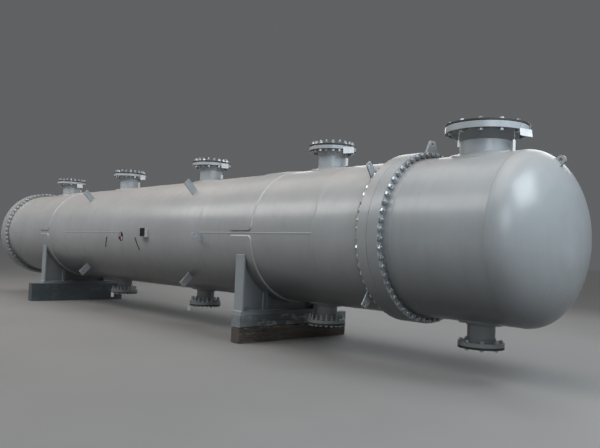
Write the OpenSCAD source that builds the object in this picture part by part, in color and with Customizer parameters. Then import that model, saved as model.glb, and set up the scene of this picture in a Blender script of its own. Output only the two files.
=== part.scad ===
// Horizontal shell and tube heat exchanger on two saddles.
// X runs along the vessel towards the channel end, Y across it, Z up from the floor.
// The origin is on the floor, under the middle of the vessel. Millimetres.

/* [Shell] */
// Outside diameter of the shell, the channel and the bonnet
shell_od = 2000; // [1700:10:2300]
// Wall of the shell, the channel, the bonnet and their heads
shell_wall = 30; // [24:1:45]
// Distance between the middles of the two girth joints
joint_span = 12750; // [11000:10:15000]
// Thickness of each tubesheet
tubesheet_t = 90; // [60:5:105]
// How far each tubesheet reaches past the bore of the shell
tubesheet_lap = 22; // [10:1:23]
// Thickness of the plate that parts the two passes in the channel
partition_t = 16; // [10:1:30]

/* [Girth joints] */
// How far the girth flanges stand out past the shell
girth_rim = 86; // [82:1:160]
// Distance from the bolt circle to the rim of a girth flange
girth_edge = 38; // [30:1:40]
// Bolts in each girth joint
girth_bolts = 60; // [40:4:64]
// Bolt holes of the girth flanges
girth_hole_d = 39; // [24:1:42]
// Thickness of the girth flanges on the shell side
shell_flange_t = 146; // [115:1:200]
// Thickness of the girth flanges on the channel and bonnet side
channel_flange_t = 161; // [110:1:200]
// Length of the taper behind each girth flange
girth_hub_len = 110; // [60:5:200]
// How far the taper stands proud of the shell at the flange
girth_hub_rise = 6; // [2:1:8]
// Thickness of the gaskets between flanges
gasket_t = 5; // [2:0.5:8]

/* [Channel and bonnet] */
// Straight length of the channel behind its flange
channel_straight = 1339; // [1200:10:2000]
// Straight length of the rear bonnet behind its flange
bonnet_straight = 120; // [60:10:600]
// Depth of the dished heads, outside
head_depth = 520; // [400:5:700]

/* [Shell nozzles] */
// First station of the shell nozzles, from the front girth joint
station_first = 1670; // [1200:10:1900]
// Last station of the shell nozzles, from the rear girth joint
station_last = 1660; // [1200:10:1900]
// Outside diameter of the necks on top
top_neck_od = 410; // [300:5:450]
// Reach of the flanges on top past their necks
top_flange_reach = 146; // [120:2:180]
// Distance from the bolt circle to the rim on top
top_edge = 48; // [30:1:54]
// Thickness of the flanges on top
top_flange_t = 50; // [40:1:80]
// Outside diameter of the necks underneath
low_neck_od = 316; // [200:2:360]
// Reach of the flanges underneath past their necks
low_flange_reach = 125; // [110:1:150]
// Distance from the bolt circle to the rim underneath
low_edge = 38; // [30:1:42]
// Thickness of the flanges underneath
low_flange_t = 48; // [40:1:80]
// Height of the upper flange faces over the shell
top_stand = 325; // [300:5:600]
// Depth of the lower flange faces under the shell
low_stand = 270; // [260:5:400]
// Wall of every nozzle neck
neck_wall = 20; // [10:1:30]
// How far the taper under each shell nozzle flange stands out from its neck
neck_hub_rise = 28; // [10:1:32]
// Length of the taper under each shell nozzle flange
neck_hub_len = 90; // [50:5:110]
// Bolts in a shell nozzle flange
nozzle_bolts = 20; // [12:4:20]
// Bolt holes of the shell nozzle flanges
nozzle_hole_d = 36; // [20:1:38]

/* [Channel nozzles] */
// Both channel nozzles, from the front girth joint
channel_station = 900; // [800:5:1000]
// Outside diameter of the neck on top of the channel
inlet_neck_od = 612; // [500:2:680]
// Reach of the flange on top of the channel past its neck
inlet_flange_reach = 179; // [170:1:210]
// Distance from the bolt circle to the rim on top of the channel
inlet_edge = 45; // [34:1:50]
// Thickness of the flange on top of the channel
inlet_flange_t = 74; // [50:1:100]
// How far the taper under the upper channel flange stands out from its neck
inlet_hub_rise = 92; // [40:1:95]
// Length of the taper under the upper channel flange
inlet_hub_len = 100; // [60:5:160]
// How much higher the upper channel flange stands than the shell's flanges
inlet_extra = 0; // [0:1:200]
// Bolts in the flange on top of the channel
inlet_bolts = 24; // [16:4:24]
// Bolt holes of the flange on top of the channel
inlet_hole_d = 42; // [30:1:48]
// Outside diameter of the neck under the channel
outlet_neck_od = 324; // [220:2:360]
// Reach of the flange under the channel past its neck
outlet_flange_reach = 106; // [100:1:140]
// Distance from the bolt circle to the rim under the channel
outlet_edge = 40; // [30:1:42]
// Thickness of the flange under the channel
outlet_flange_t = 48; // [40:1:80]
// How far the taper over the lower channel flange stands out from its neck
outlet_hub_rise = 24; // [10:1:32]
// Length of the taper over the lower channel flange
outlet_hub_len = 45; // [30:5:90]
// Bolts in the flange under the channel
outlet_bolts = 16; // [12:4:20]
// Thickness of the plates that close the nozzles
cover_t = 20; // [10:1:40]
// Height of the raised face on each nozzle flange
raised_face = 6; // [2:1:8]
// Distance from the bolt holes to the raised face
raised_gap = 8; // [2:1:10]

/* [Pads] */
// Thickness of the reinforcing and wrapper plates
pad_t = 18; // [10:1:30]
// Width of the reinforcing plate around each neck
pad_ring = 90; // [60:5:140]
// Length of the wrapper plates along the vessel
wrapper_len = 510; // [400:10:700]
// Gap between upper and lower wrapper plates at each side
wrapper_gap = 86; // [40:2:160]
// Radius of the wrapper plates' corners
wrapper_corner = 60; // [20:5:100]

/* [Saddles] */
// Distance of the front saddle behind the first nozzle station
front_saddle_gap = 875; // [700:5:1200]
// Distance of the rear saddle ahead of the last nozzle station
rear_saddle_gap = 970; // [700:5:1200]
// Clear height under the shell over the saddle base plates
saddle_clear = 155; // [100:5:400]
// Width of the saddles along the vessel
saddle_w = 205; // [160:5:300]
// Distance from the side of the shell in to the end ribs' outer faces
saddle_inset = 25; // [20:1:200]
// Plate of the saddle ribs
rib_t = 26; // [16:1:40]
// Plate of the saddle webs
web_t = 24; // [16:1:40]
// Width left on top of each end rib beside the wrapper plate
rib_land = 10; // [4:1:14]
// Distance of the middle ribs from the middle of the saddle
mid_rib_at = 500; // [300:10:640]
// Thickness of the base plates
base_t = 60; // [30:1:80]
// How far the base plates reach past the end ribs
base_over = 26; // [10:1:60]
// Anchor holes of the base plates
anchor_hole_d = 36; // [24:1:40]
// Distance of the anchor holes in from the end ribs
anchor_in = 110; // [60:5:200]
// How far the anchor slots of the rear base plate let it slide
anchor_slide = 24; // [16:2:28]

/* [Supports] */
// Height of the sawn baulk on the floor under the front saddle
baulk_h = 235; // [150:5:350]
// Height of the painted packing on the front baulk
packing_h = 170; // [120:5:250]
// Courses of packing
packing_courses = 2; // [1:1:3]
// Bevel along the edges of the packing
packing_bevel = 5; // [2:1:10]
// Reach of each support past the base plate on its short side
support_short = 9; // [0:1:100]
// Reach of each support past the base plate on its long side
support_long = 249; // [100:1:400]
// Width of the supports along the vessel
support_w = 205; // [160:5:300]

/* [Lugs] */
// Plate of the lugs on the shell
lug_t = 16; // [10:1:30]
// Width of the lugs in the middle of the shell
lug_w = 125; // [80:5:160]
// Height of the lugs in the middle of the shell
lug_h = 250; // [150:5:320]
// Angle of the lugs in the middle of the shell over and under the horizontal
lug_angle = 45; // [35:1:55]
// Holes near the outer ends of the shell lugs
lug_hole_d = 34; // [16:1:40]
// Distance of the first lugs in the middle of the shell, ahead of the second nozzle station
lug_front_gap = 560; // [400:10:900]
// Distance of the rear lugs in the middle of the shell, behind the third nozzle station
lug_rear_gap = 300; // [260:10:900]
// Width of the end lugs at the shell
end_lug_w = 140; // [100:5:180]
// Width of the end lugs at their outer ends
end_lug_tip = 80; // [60:2:100]
// Height of the end lugs
end_lug_h = 190; // [120:5:260]
// Angle of the end lugs over and under the horizontal
end_lug_angle = 49; // [35:1:60]
// Distance of the end lugs from the taper of the girth flange
end_lug_gap = 10; // [0:1:200]
// Plate of the lifting eyes
eye_t = 30; // [20:1:60]
// Holes of the lifting eyes
eye_hole_d = 42; // [30:1:50]
// Height of the hole over the rim of the girth flange
joint_eye_at = 112; // [80:1:160]
// Width of the eye on the girth joint at the rim
joint_eye_w = 250; // [180:5:320]
// Width of the eye on the girth joint at its top
joint_eye_tip = 96; // [90:2:140]
// Distance of the eye on the girth joint ahead of the back of its flange
joint_eye_back = 43; // [20:1:100]
// Distance of the head's lifting eye in front of the head's seam
head_eye_at = 285; // [200:5:340]
// Width of the head's lifting eye
head_eye_w = 104; // [90:2:140]
// Height of the hole over the head
head_eye_h = 45; // [40:1:80]

/* [Fittings] */
// Distance of the earthing plate ahead of the second nozzle station
side_plate_at = 1245; // [900:5:1500]
// Reach of the earthing plate from the shell
side_plate_reach = 183; // [120:1:220]
// Height of the earthing plate at the shell
side_plate_h = 150; // [110:1:200]
// Height of the earthing plate at its outer end
side_plate_tip = 60; // [50:1:100]
// Thickness of the earthing plate
side_plate_t = 14; // [8:1:20]
// Holes in the earthing plate
side_plate_hole_d = 26; // [12:1:30]
// Distance of the nameplate bracket behind the second nozzle station
bracket_at = 540; // [400:5:900]
// Length of the nameplate bracket along the shell
bracket_len = 198; // [150:2:300]
// Height of the nameplate bracket
bracket_h = 176; // [120:2:240]
// How far the nameplate bracket stands off the shell
bracket_stand = 64; // [40:1:100]
// Plate of the nameplate bracket
bracket_t = 8; // [5:1:12]
// Width and height of the earthing lugs on the saddles
earth_size = 60; // [40:1:80]
// Distance of the earthing lugs from the end ribs
earth_in = 85; // [20:5:150]
// Plate of the earthing lugs
earth_t = 8; // [5:1:12]
// Hole in each earthing lug
earth_hole_d = 14; // [8:1:20]

/* [Hidden] */

$fn = 96;
// Clearance between curved faces that seat on each other
seat = 0.3;
// Overshoot of cutting bodies
cut = 5;
r_out = shell_od / 2;
r_in = r_out - shell_wall;
r_rim = r_out + girth_rim;
r_bolts = r_rim - girth_edge;
r_tubesheet = r_in + tubesheet_lap;
wrapper_r = r_out + seat + pad_t;

// Heights over the floor and over the middle of the vessel
support_h = baulk_h + packing_h;
saddle_h = r_out + saddle_clear;
axis_z = support_h + base_t + saddle_h;
top_face = r_out + top_stand;
low_face = r_out + low_stand;

// Stations along the vessel, measured from the front girth joint
half_gap = gasket_t / 2;
rear_joint = -joint_span;
channel_back = half_gap + channel_flange_t + girth_hub_len;
channel_end = half_gap + channel_flange_t + channel_straight;
bonnet_back = rear_joint - half_gap - channel_flange_t - girth_hub_len;
bonnet_end = bonnet_back - bonnet_straight;
shell_front = -half_gap - shell_flange_t - girth_hub_len;
shell_rear = rear_joint + half_gap + shell_flange_t + girth_hub_len;
head_tip = channel_end + head_depth;
rear_tip = bonnet_end - head_depth;
mid_x = (head_tip + rear_tip) / 2;
station_pitch = (joint_span - station_first - station_last) / 3;
function station(i) = -station_first - i * station_pitch;
front_saddle_x = station(0) - front_saddle_gap;
rear_saddle_x = station(3) + rear_saddle_gap;
end_lug_x = shell_front - end_lug_gap - lug_t / 2;

// Saddles, across the vessel
saddle_half = r_out - saddle_inset;
rib_in = saddle_half - rib_t;
rib_h = saddle_h - sqrt(pow(wrapper_r, 2) - pow(saddle_half - rib_land, 2));
base_half = saddle_half + base_over;
support_len = 2 * base_half + support_short + support_long;

STEEL = "#9aa0a1";
STEEL_COOL = "#8b979b";
ZINC = "#b9bdbd";
COVER = "#3b3f42";
GASKET = "#2a2a2a";
TIMBER = "#4a4340";
DARK_PAINT = "#3f474c";

// Places a child given in vessel coordinates: X from the front girth joint, Z from the vessel's middle
module vessel() {
    translate([-mid_x, 0, axis_z]) children();
}

// Turns a profile drawn as [radius, station] round the vessel's axis
module turned() {
    rotate([0, 90, 0]) rotate_extrude($fn = 180) children();
}

// Round solid along X
module bar_x(r, x0, x1) {
    translate([x0, 0, 0]) rotate([0, 90, 0]) cylinder(r = r, h = x1 - x0, $fn = 180);
}

// Straight tube of the vessel between two stations
module barrel(x0, x1) {
    difference() {
        bar_x(r_out, x0, x1);
        bar_x(r_in, x0 - cut, x1 + cut);
    }
}

// Girth flange with its tapered hub. Side is 1 where the hub points to +X, -1 where it points to -X
module girth_flange(face, side, t, recess) {
    hub_end = t + girth_hub_len;
    r_hub = r_out + girth_hub_rise;
    translate([face, 0, 0])
    mirror([side < 0 ? 1 : 0, 0, 0])
    difference() {
        turned() polygon([
            [r_in, 0], [r_rim, 0], [r_rim, t], [r_hub, t],
            [r_out, hub_end], [r_in, hub_end]
        ]);
        if (recess) bar_x(r_tubesheet + seat, -cut, tubesheet_t);
        for (i = [0:girth_bolts - 1])
            rotate([(i + 0.5) * 360 / girth_bolts, 0, 0])
            translate([-cut, 0, r_bolts])
            rotate([0, 90, 0])
            cylinder(d = girth_hole_d, h = t + 2 * cut, $fn = 24);
    }
}

// Gasket ring inside the bolts of a girth joint
module girth_gasket(x) {
    r_seal = r_bolts - girth_hole_d / 2 - girth_hub_rise;
    difference() {
        bar_x(r_seal, x - half_gap, x + half_gap);
        bar_x(r_in, x - half_gap - cut, x + half_gap + cut);
    }
}

// Outline of a dished head as half an ellipse, as points of [radius, depth]
head_steps = 30;
function head_curve(r, depth) =
    [for (i = [0:head_steps]) [r * cos(90 * i / head_steps), depth * sin(90 * i / head_steps)]];
function reversed(points) = [for (i = [len(points) - 1:-1:0]) points[i]];

// Dished head turned round the axis
module dished_head(x, side) {
    translate([x, 0, 0])
    mirror([side < 0 ? 1 : 0, 0, 0])
    turned() polygon(concat(
        head_curve(r_out, head_depth),
        reversed(head_curve(r_in, head_depth - shell_wall))
    ));
}

// Solid body that fills a dished head out to radius r
module head_body(x, r, depth) {
    translate([x, 0, 0]) turned() polygon(concat([[0, 0]], head_curve(r, depth)));
}

// Weld-neck nozzle standing on the vessel: neck, tapered hub, flange, raised face and bolt holes.
// Up is 1 for a nozzle on top and -1 for one underneath
module nozzle(x, up, neck_od, reach, edge, flange_t, hub_rise, hub_len, bolts, hole_d, face) {
    r_neck = neck_od / 2;
    r_flange = r_neck + reach;
    r_pitch = r_flange - edge;
    r_raised = r_pitch - hole_d / 2 - raised_gap;
    back = face - raised_face - flange_t;
    foot = r_out * 0.7;
    translate([x, 0, 0])
    mirror([0, 0, up < 0 ? 1 : 0])
    difference() {
        rotate_extrude($fn = 96) polygon([
            [r_neck - neck_wall, foot], [r_neck, foot], [r_neck, back - hub_len],
            [r_neck + hub_rise, back], [r_flange, back], [r_flange, back + flange_t],
            [r_raised, back + flange_t], [r_raised, face], [r_neck - neck_wall, face]
        ]);
        translate([-x, 0, 0]) bar_x(r_out + seat, x - neck_od, x + neck_od);
        bolt_holes(r_pitch, bolts, hole_d, back, flange_t);
    }
}

// Ring of bolt holes through a flange or a plate that starts at height z
module bolt_holes(r_pitch, bolts, hole_d, z, t) {
    for (i = [0:bolts - 1])
        rotate([0, 0, (i + 0.5) * 360 / bolts])
        translate([r_pitch, 0, z - cut])
        cylinder(d = hole_d, h = t + 2 * cut, $fn = 24);
}

// Flat plate that closes a nozzle
module cover(x, up, neck_od, reach, edge, bolts, hole_d, face) {
    r_flange = neck_od / 2 + reach;
    translate([x, 0, 0])
    mirror([0, 0, up < 0 ? 1 : 0])
    difference() {
        translate([0, 0, face]) cylinder(r = r_flange, h = cover_t, $fn = 96);
        bolt_holes(r_flange - edge, bolts, hole_d, face, cover_t);
    }
}

// Hole that a nozzle needs in the wall under it
module wall_hole(x, up, neck_od) {
    translate([x, 0, up > 0 ? 0 : -shell_od])
    cylinder(d = neck_od - 2 * neck_wall, h = shell_od, $fn = 96);
}

// Curved reinforcing plate round a neck
module neck_pad(x, up, neck_od) {
    intersection() {
        difference() {
            bar_x(wrapper_r, x - neck_od, x + neck_od);
            bar_x(r_out + seat, x - neck_od - cut, x + neck_od + cut);
        }
        translate([x, 0, up > 0 ? 0 : -2 * r_out])
        difference() {
            cylinder(r = neck_od / 2 + pad_ring, h = 2 * r_out, $fn = 96);
            translate([0, 0, -cut])
            cylinder(r = neck_od / 2 + seat, h = 2 * r_out + 2 * cut, $fn = 96);
        }
    }
}

module shell() {
    color(STEEL) vessel() difference() {
        barrel(shell_rear, shell_front);
        for (i = [0:3]) wall_hole(station(i), 1, top_neck_od);
        for (i = [0:2]) wall_hole(station(i), -1, low_neck_od);
    }
}

module shell_flange_front() {
    color(STEEL) vessel() girth_flange(-half_gap, -1, shell_flange_t, true);
}

module shell_flange_rear() {
    color(STEEL) vessel() girth_flange(rear_joint + half_gap, 1, shell_flange_t, true);
}

module tubesheet_front() {
    color(ZINC) vessel() bar_x(r_tubesheet, -half_gap - tubesheet_t, -half_gap);
}

module tubesheet_rear() {
    color(ZINC) vessel() bar_x(r_tubesheet, rear_joint + half_gap, rear_joint + half_gap + tubesheet_t);
}

module gasket_front() {
    color(GASKET) vessel() girth_gasket(0);
}

module gasket_rear() {
    color(GASKET) vessel() girth_gasket(rear_joint);
}

module channel_flange() {
    color(STEEL_COOL) vessel() girth_flange(half_gap, 1, channel_flange_t, false);
}

module channel_barrel() {
    color(STEEL_COOL) vessel() difference() {
        barrel(channel_back, channel_end);
        wall_hole(channel_station, 1, inlet_neck_od);
        wall_hole(channel_station, -1, outlet_neck_od);
    }
}

module channel_head() {
    color(STEEL_COOL) vessel() dished_head(channel_end, 1);
}

// Level plate between the inlet and the outlet side, from the tubesheet into the head
module pass_partition() {
    color(ZINC) vessel()
    intersection() {
        translate([-half_gap, -r_out, -partition_t / 2]) cube([head_tip, shell_od, partition_t]);
        union() {
            bar_x(r_in - seat, -half_gap, channel_end);
            head_body(channel_end, r_in - seat, head_depth - shell_wall - seat);
        }
    }
}

module bonnet_flange() {
    color(STEEL) vessel() girth_flange(rear_joint - half_gap, -1, channel_flange_t, false);
}

module bonnet_barrel() {
    color(STEEL) vessel() barrel(bonnet_end, bonnet_back);
}

module bonnet_head() {
    color(STEEL) vessel() dished_head(bonnet_end, -1);
}

module top_nozzle(i) {
    color(STEEL) vessel()
    nozzle(station(i), 1, top_neck_od, top_flange_reach, top_edge, top_flange_t,
        neck_hub_rise, neck_hub_len, nozzle_bolts, nozzle_hole_d, top_face);
}

module top_cover(i) {
    color(COVER) vessel()
    cover(station(i), 1, top_neck_od, top_flange_reach, top_edge, nozzle_bolts, nozzle_hole_d, top_face);
}

module low_nozzle(i) {
    color(STEEL) vessel()
    nozzle(station(i), -1, low_neck_od, low_flange_reach, low_edge, low_flange_t,
        neck_hub_rise, neck_hub_len, nozzle_bolts, nozzle_hole_d, low_face);
}

module low_cover(i) {
    color(COVER) vessel()
    cover(station(i), -1, low_neck_od, low_flange_reach, low_edge, nozzle_bolts, nozzle_hole_d, low_face);
}

module inlet_nozzle() {
    color(STEEL_COOL) vessel()
    nozzle(channel_station, 1, inlet_neck_od, inlet_flange_reach, inlet_edge, inlet_flange_t,
        inlet_hub_rise, inlet_hub_len, inlet_bolts, inlet_hole_d, top_face + inlet_extra);
}

module inlet_cover() {
    color(COVER) vessel()
    cover(channel_station, 1, inlet_neck_od, inlet_flange_reach, inlet_edge, inlet_bolts, inlet_hole_d,
        top_face + inlet_extra);
}

module outlet_nozzle() {
    color(STEEL_COOL) vessel()
    nozzle(channel_station, -1, outlet_neck_od, outlet_flange_reach, outlet_edge, outlet_flange_t,
        outlet_hub_rise, outlet_hub_len, outlet_bolts, nozzle_hole_d, low_face);
}

module outlet_cover() {
    color(COVER) vessel()
    cover(channel_station, -1, outlet_neck_od, outlet_flange_reach, outlet_edge, outlet_bolts,
        nozzle_hole_d, low_face);
}

module shell_nozzle_pads() {
    color(STEEL) vessel() {
        for (i = [0:3]) neck_pad(station(i), 1, top_neck_od);
        for (i = [0:2]) neck_pad(station(i), -1, low_neck_od);
    }
}

module channel_nozzle_pads() {
    color(STEEL_COOL) vessel() {
        neck_pad(channel_station, 1, inlet_neck_od);
        neck_pad(channel_station, -1, outlet_neck_od);
    }
}

// What is cut away to round a corner of radius r at the origin, across the whole vessel
module corner_cut(r) {
    rotate([90, 0, 0])
    linear_extrude(2 * shell_od, center = true)
    difference() {
        translate([-cut, -cut]) square(r + cut);
        translate([r, r]) circle(r, $fn = 48);
    }
}

// Upper and lower wrapper plates round the vessel, parted at both sides
module wrapper(x) {
    difference() {
        bar_x(wrapper_r, x - wrapper_len / 2, x + wrapper_len / 2);
        bar_x(r_out + seat, x - wrapper_len, x + wrapper_len);
        translate([x, 0, 0]) cube([2 * wrapper_len, 2 * shell_od, wrapper_gap], center = true);
        for (side = [0, 1])
            for (under = [0, 1])
                translate([x, 0, 0])
                mirror([side, 0, 0])
                mirror([0, 0, under])
                translate([-wrapper_len / 2, 0, wrapper_gap / 2])
                corner_cut(wrapper_corner);
    }
}

module wrapper_front() {
    color(STEEL) vessel() wrapper(front_saddle_x);
}

module wrapper_rear() {
    color(STEEL) vessel() wrapper(rear_saddle_x);
}

// Cross web of a saddle, cut to the wrapper plate
module saddle_web(x) {
    difference() {
        translate([x - web_t / 2, -rib_in, -saddle_h]) cube([web_t, 2 * rib_in, rib_h]);
        bar_x(wrapper_r + seat, x - saddle_w, x + saddle_w);
    }
}

// End ribs and middle ribs of a saddle, cut to the wrapper plate
module saddle_ribs(x) {
    half_rib = (saddle_w - web_t) / 2;
    difference() {
        for (s = [-1, 1]) {
            translate([x - saddle_w / 2, s * (rib_in + rib_t / 2) - rib_t / 2, -saddle_h])
            cube([saddle_w, rib_t, rib_h]);
            for (rib_x = [x - saddle_w / 2, x + web_t / 2])
                translate([rib_x, s * mid_rib_at - rib_t / 2, -saddle_h])
                cube([half_rib, rib_t, rib_h]);
        }
        bar_x(wrapper_r + seat, x - saddle_w, x + saddle_w);
    }
}

// Base plate of a saddle with its anchor holes, which are slots where it may slide
module saddle_base(x, slide) {
    difference() {
        translate([x - saddle_w / 2, -base_half, -saddle_h - base_t])
        cube([saddle_w, 2 * base_half, base_t]);
        for (e = [-1, 1])
            for (s = [-1, 1])
                translate([x + e * (saddle_w + web_t) / 4, s * (rib_in - anchor_in), 0])
                translate([0, 0, -saddle_h - base_t / 2])
                anchor_slot(slide);
    }
}

// Round hole, or a slot along the vessel where the slide isn't 0
module anchor_slot(slide) {
    h = base_t + 2 * cut;
    if (slide > 0) cube([slide, anchor_hole_d, h], center = true);
    for (e = slide > 0 ? [-1, 1] : [0])
        translate([e * slide / 2, 0, 0])
        cylinder(d = anchor_hole_d, h = h, center = true, $fn = 32);
}

module saddle_web_front() {
    color(STEEL_COOL) vessel() saddle_web(front_saddle_x);
}

module saddle_ribs_front() {
    color(STEEL_COOL) vessel() saddle_ribs(front_saddle_x);
}

module saddle_base_front() {
    color(STEEL_COOL) vessel() saddle_base(front_saddle_x, 0);
}

module saddle_web_rear() {
    color(STEEL_COOL) vessel() saddle_web(rear_saddle_x);
}

module saddle_ribs_rear() {
    color(STEEL_COOL) vessel() saddle_ribs(rear_saddle_x);
}

module saddle_base_rear() {
    color(STEEL_COOL) vessel() saddle_base(rear_saddle_x, anchor_slide);
}

// The front supports reach farther on the far side of the vessel, the rear one on the near side
module baulk_front() {
    color(TIMBER)
    translate([front_saddle_x - mid_x - support_w / 2, -base_half - support_short, 0])
    cube([support_w, support_len, baulk_h]);
}

// Courses of packing with bevelled edges, so that each joint shows as a groove
module packing_front() {
    course_h = packing_h / packing_courses;
    b = packing_bevel;
    color(STEEL_COOL)
    for (i = [0:packing_courses - 1])
        translate([front_saddle_x - mid_x, base_half + support_long, baulk_h + i * course_h])
        rotate([90, 0, 0])
        linear_extrude(support_len)
        polygon([
            [-support_w / 2 + b, 0], [support_w / 2 - b, 0], [support_w / 2, b],
            [support_w / 2, course_h - b], [support_w / 2 - b, course_h],
            [-support_w / 2 + b, course_h], [-support_w / 2, course_h - b], [-support_w / 2, b]
        ]);
}

module block_rear() {
    color(DARK_PAINT)
    translate([rear_saddle_x - mid_x - support_w / 2, -base_half - support_long, 0])
    cube([support_w, support_len, support_h]);
}

// Turns a child that stands on top of the vessel to an angle over the horizontal on the near side
module at_angle(angle) {
    rotate([90 - angle, 0, 0]) children();
}

// Upright plate across the vessel from an outline drawn as [across, height over the vessel's middle]
module cross_plate(x, t, points) {
    translate([x, 0, 0]) rotate([90, 0, 90]) linear_extrude(t, center = true) polygon(points);
}

// Hole along the vessel through a cross plate
module cross_hole(x, t, across, height, d) {
    translate([x - t, across, height]) rotate([0, 90, 0]) cylinder(d = d, h = 2 * t, $fn = 32);
}

// Outline that narrows from its root on a round seat of radius r to its tip
function tapered(r, root_w, tip_w, h) = [
    [-root_w / 2, r - shell_wall], [root_w / 2, r - shell_wall], [root_w / 2, r],
    [tip_w / 2, r + h], [-tip_w / 2, r + h], [-root_w / 2, r]
];

// Radial plate lug with a hole near its outer end
module plate_lug(x, angle, root_w, tip_w, h) {
    at_angle(angle)
    difference() {
        cross_plate(x, lug_t, tapered(r_out, root_w, tip_w, h));
        cross_hole(x, lug_t, 0, r_out + h - tip_w / 2, lug_hole_d);
        bar_x(r_out + seat, x - 2 * lug_t, x + 2 * lug_t);
    }
}

// Four lugs round the vessel, over and under the middle at both sides
module lug_ring(x, angle, root_w, tip_w, h) {
    for (s = [-1, 1])
        for (far = [0, 1])
            mirror([0, far, 0]) plate_lug(x, s * angle, root_w, tip_w, h);
}

module shell_lugs() {
    color(STEEL_COOL) vessel() {
        lug_ring(end_lug_x, end_lug_angle, end_lug_w, end_lug_tip, end_lug_h);
        lug_ring(station(1) + lug_front_gap, lug_angle, lug_w, lug_w, lug_h);
        lug_ring(station(2) - lug_rear_gap, lug_angle, lug_w, lug_w, lug_h);
    }
}

// Earthing plate on the near side of the shell, with two holes
module side_plate() {
    x = station(1) + side_plate_at;
    tip = r_out + side_plate_reach;
    bevel = side_plate_reach / 8;
    hole_h = -bevel - side_plate_hole_d * 0.8;
    d = side_plate_hole_d;
    color(STEEL_COOL) vessel()
    at_angle(0)
    difference() {
        cross_plate(x, side_plate_t, [
            [-side_plate_h, r_in], [-side_plate_h, r_out], [-side_plate_tip - bevel, tip],
            [-bevel, tip], [0, tip - 2 * bevel], [0, r_in]
        ]);
        for (i = [0, 1])
            cross_hole(x, side_plate_t, hole_h, tip - (1.6 + 2.8 * i) * d, d);
        bar_x(r_out + seat, x - 2 * side_plate_t, x + 2 * side_plate_t);
    }
}

// Bent plate that holds the nameplate, open at its top and bottom
module nameplate_bracket() {
    x = station(1) - bracket_at;
    len_in = bracket_len - 2 * bracket_t;
    depth = bracket_stand + shell_wall;
    color(STEEL_COOL) vessel()
    difference() {
        translate([x, -r_out - bracket_stand, 0])
        translate([-bracket_len / 2, 0, -bracket_h / 2])
        cube([bracket_len, depth, bracket_h]);
        translate([x, -r_out - bracket_stand + bracket_t, 0])
        translate([-len_in / 2, 0, -bracket_h / 2 - cut])
        cube([len_in, depth, bracket_h + 2 * cut]);
        bar_x(r_out + seat, x - bracket_len, x + bracket_len);
    }
}

module joint_lifting_eye() {
    x = half_gap + channel_flange_t - joint_eye_back;
    h = joint_eye_at + joint_eye_tip / 2;
    color(STEEL_COOL) vessel()
    difference() {
        cross_plate(x, eye_t, tapered(r_rim, joint_eye_w, joint_eye_tip, h));
        cross_hole(x, eye_t, 0, r_rim + joint_eye_at, eye_hole_d);
        bar_x(r_rim + seat, x - 2 * eye_t, x + 2 * eye_t);
    }
}

// Where the head's lifting eye stands: its place on the ellipse and the tilt of the surface there
head_eye_turn = asin(head_eye_at / head_depth);
head_eye_tilt = atan2(sin(head_eye_turn) / head_depth, cos(head_eye_turn) / r_out);

module head_lifting_eye() {
    color(STEEL_COOL) vessel()
    difference() {
        translate([channel_end + head_eye_at, 0, r_out * cos(head_eye_turn)])
        rotate([0, head_eye_tilt, 0])
        difference() {
            union() {
                translate([-head_eye_w / 2, -eye_t / 2, -eye_t])
                cube([head_eye_w, eye_t, eye_t + head_eye_h]);
                translate([0, 0, head_eye_h])
                rotate([90, 0, 0])
                cylinder(d = head_eye_w, h = eye_t, center = true, $fn = 64);
            }
            translate([0, 0, head_eye_h])
            rotate([90, 0, 0])
            cylinder(d = eye_hole_d, h = 2 * eye_t, center = true, $fn = 48);
        }
        head_body(channel_end, r_out + seat, head_depth + seat);
    }
}

// Earthing lugs at the foot of the saddle webs
module earth_lugs() {
    earth_y = -rib_in + earth_in;
    color(ZINC) vessel()
    for (x = [front_saddle_x, rear_saddle_x])
        difference() {
            translate([x + web_t / 2, earth_y, -saddle_h]) cube([earth_t, earth_size, earth_size]);
            translate([x, earth_y + earth_size / 2, -saddle_h + earth_size / 2])
            rotate([0, 90, 0])
            cylinder(d = earth_hole_d, h = web_t, $fn = 32);
        }
}

shell();
shell_flange_front();
shell_flange_rear();
tubesheet_front();
tubesheet_rear();
gasket_front();
gasket_rear();
channel_flange();
channel_barrel();
channel_head();
pass_partition();
bonnet_flange();
bonnet_barrel();
bonnet_head();
top_nozzle(0);  // top_nozzle_1
top_nozzle(1);  // top_nozzle_2
top_nozzle(2);  // top_nozzle_3
top_nozzle(3);  // top_nozzle_4
top_cover(0);  // top_cover_1
top_cover(1);  // top_cover_2
top_cover(2);  // top_cover_3
top_cover(3);  // top_cover_4
low_nozzle(0);  // low_nozzle_1
low_nozzle(1);  // low_nozzle_2
low_nozzle(2);  // low_nozzle_3
low_cover(0);  // low_cover_1
low_cover(1);  // low_cover_2
low_cover(2);  // low_cover_3
inlet_nozzle();
inlet_cover();
outlet_nozzle();
outlet_cover();
shell_nozzle_pads();
channel_nozzle_pads();
wrapper_front();
wrapper_rear();
saddle_web_front();
saddle_ribs_front();
saddle_base_front();
saddle_web_rear();
saddle_ribs_rear();
saddle_base_rear();
baulk_front();
packing_front();
block_rear();
shell_lugs();
side_plate();
nameplate_bracket();
joint_lifting_eye();
head_lifting_eye();
earth_lugs();
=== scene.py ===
"""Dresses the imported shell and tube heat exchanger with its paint, bolting, welds, tags and stage.

X runs along the vessel towards the channel end, Y across it, Z up from the floor, all in metres.
"""

import math

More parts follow.
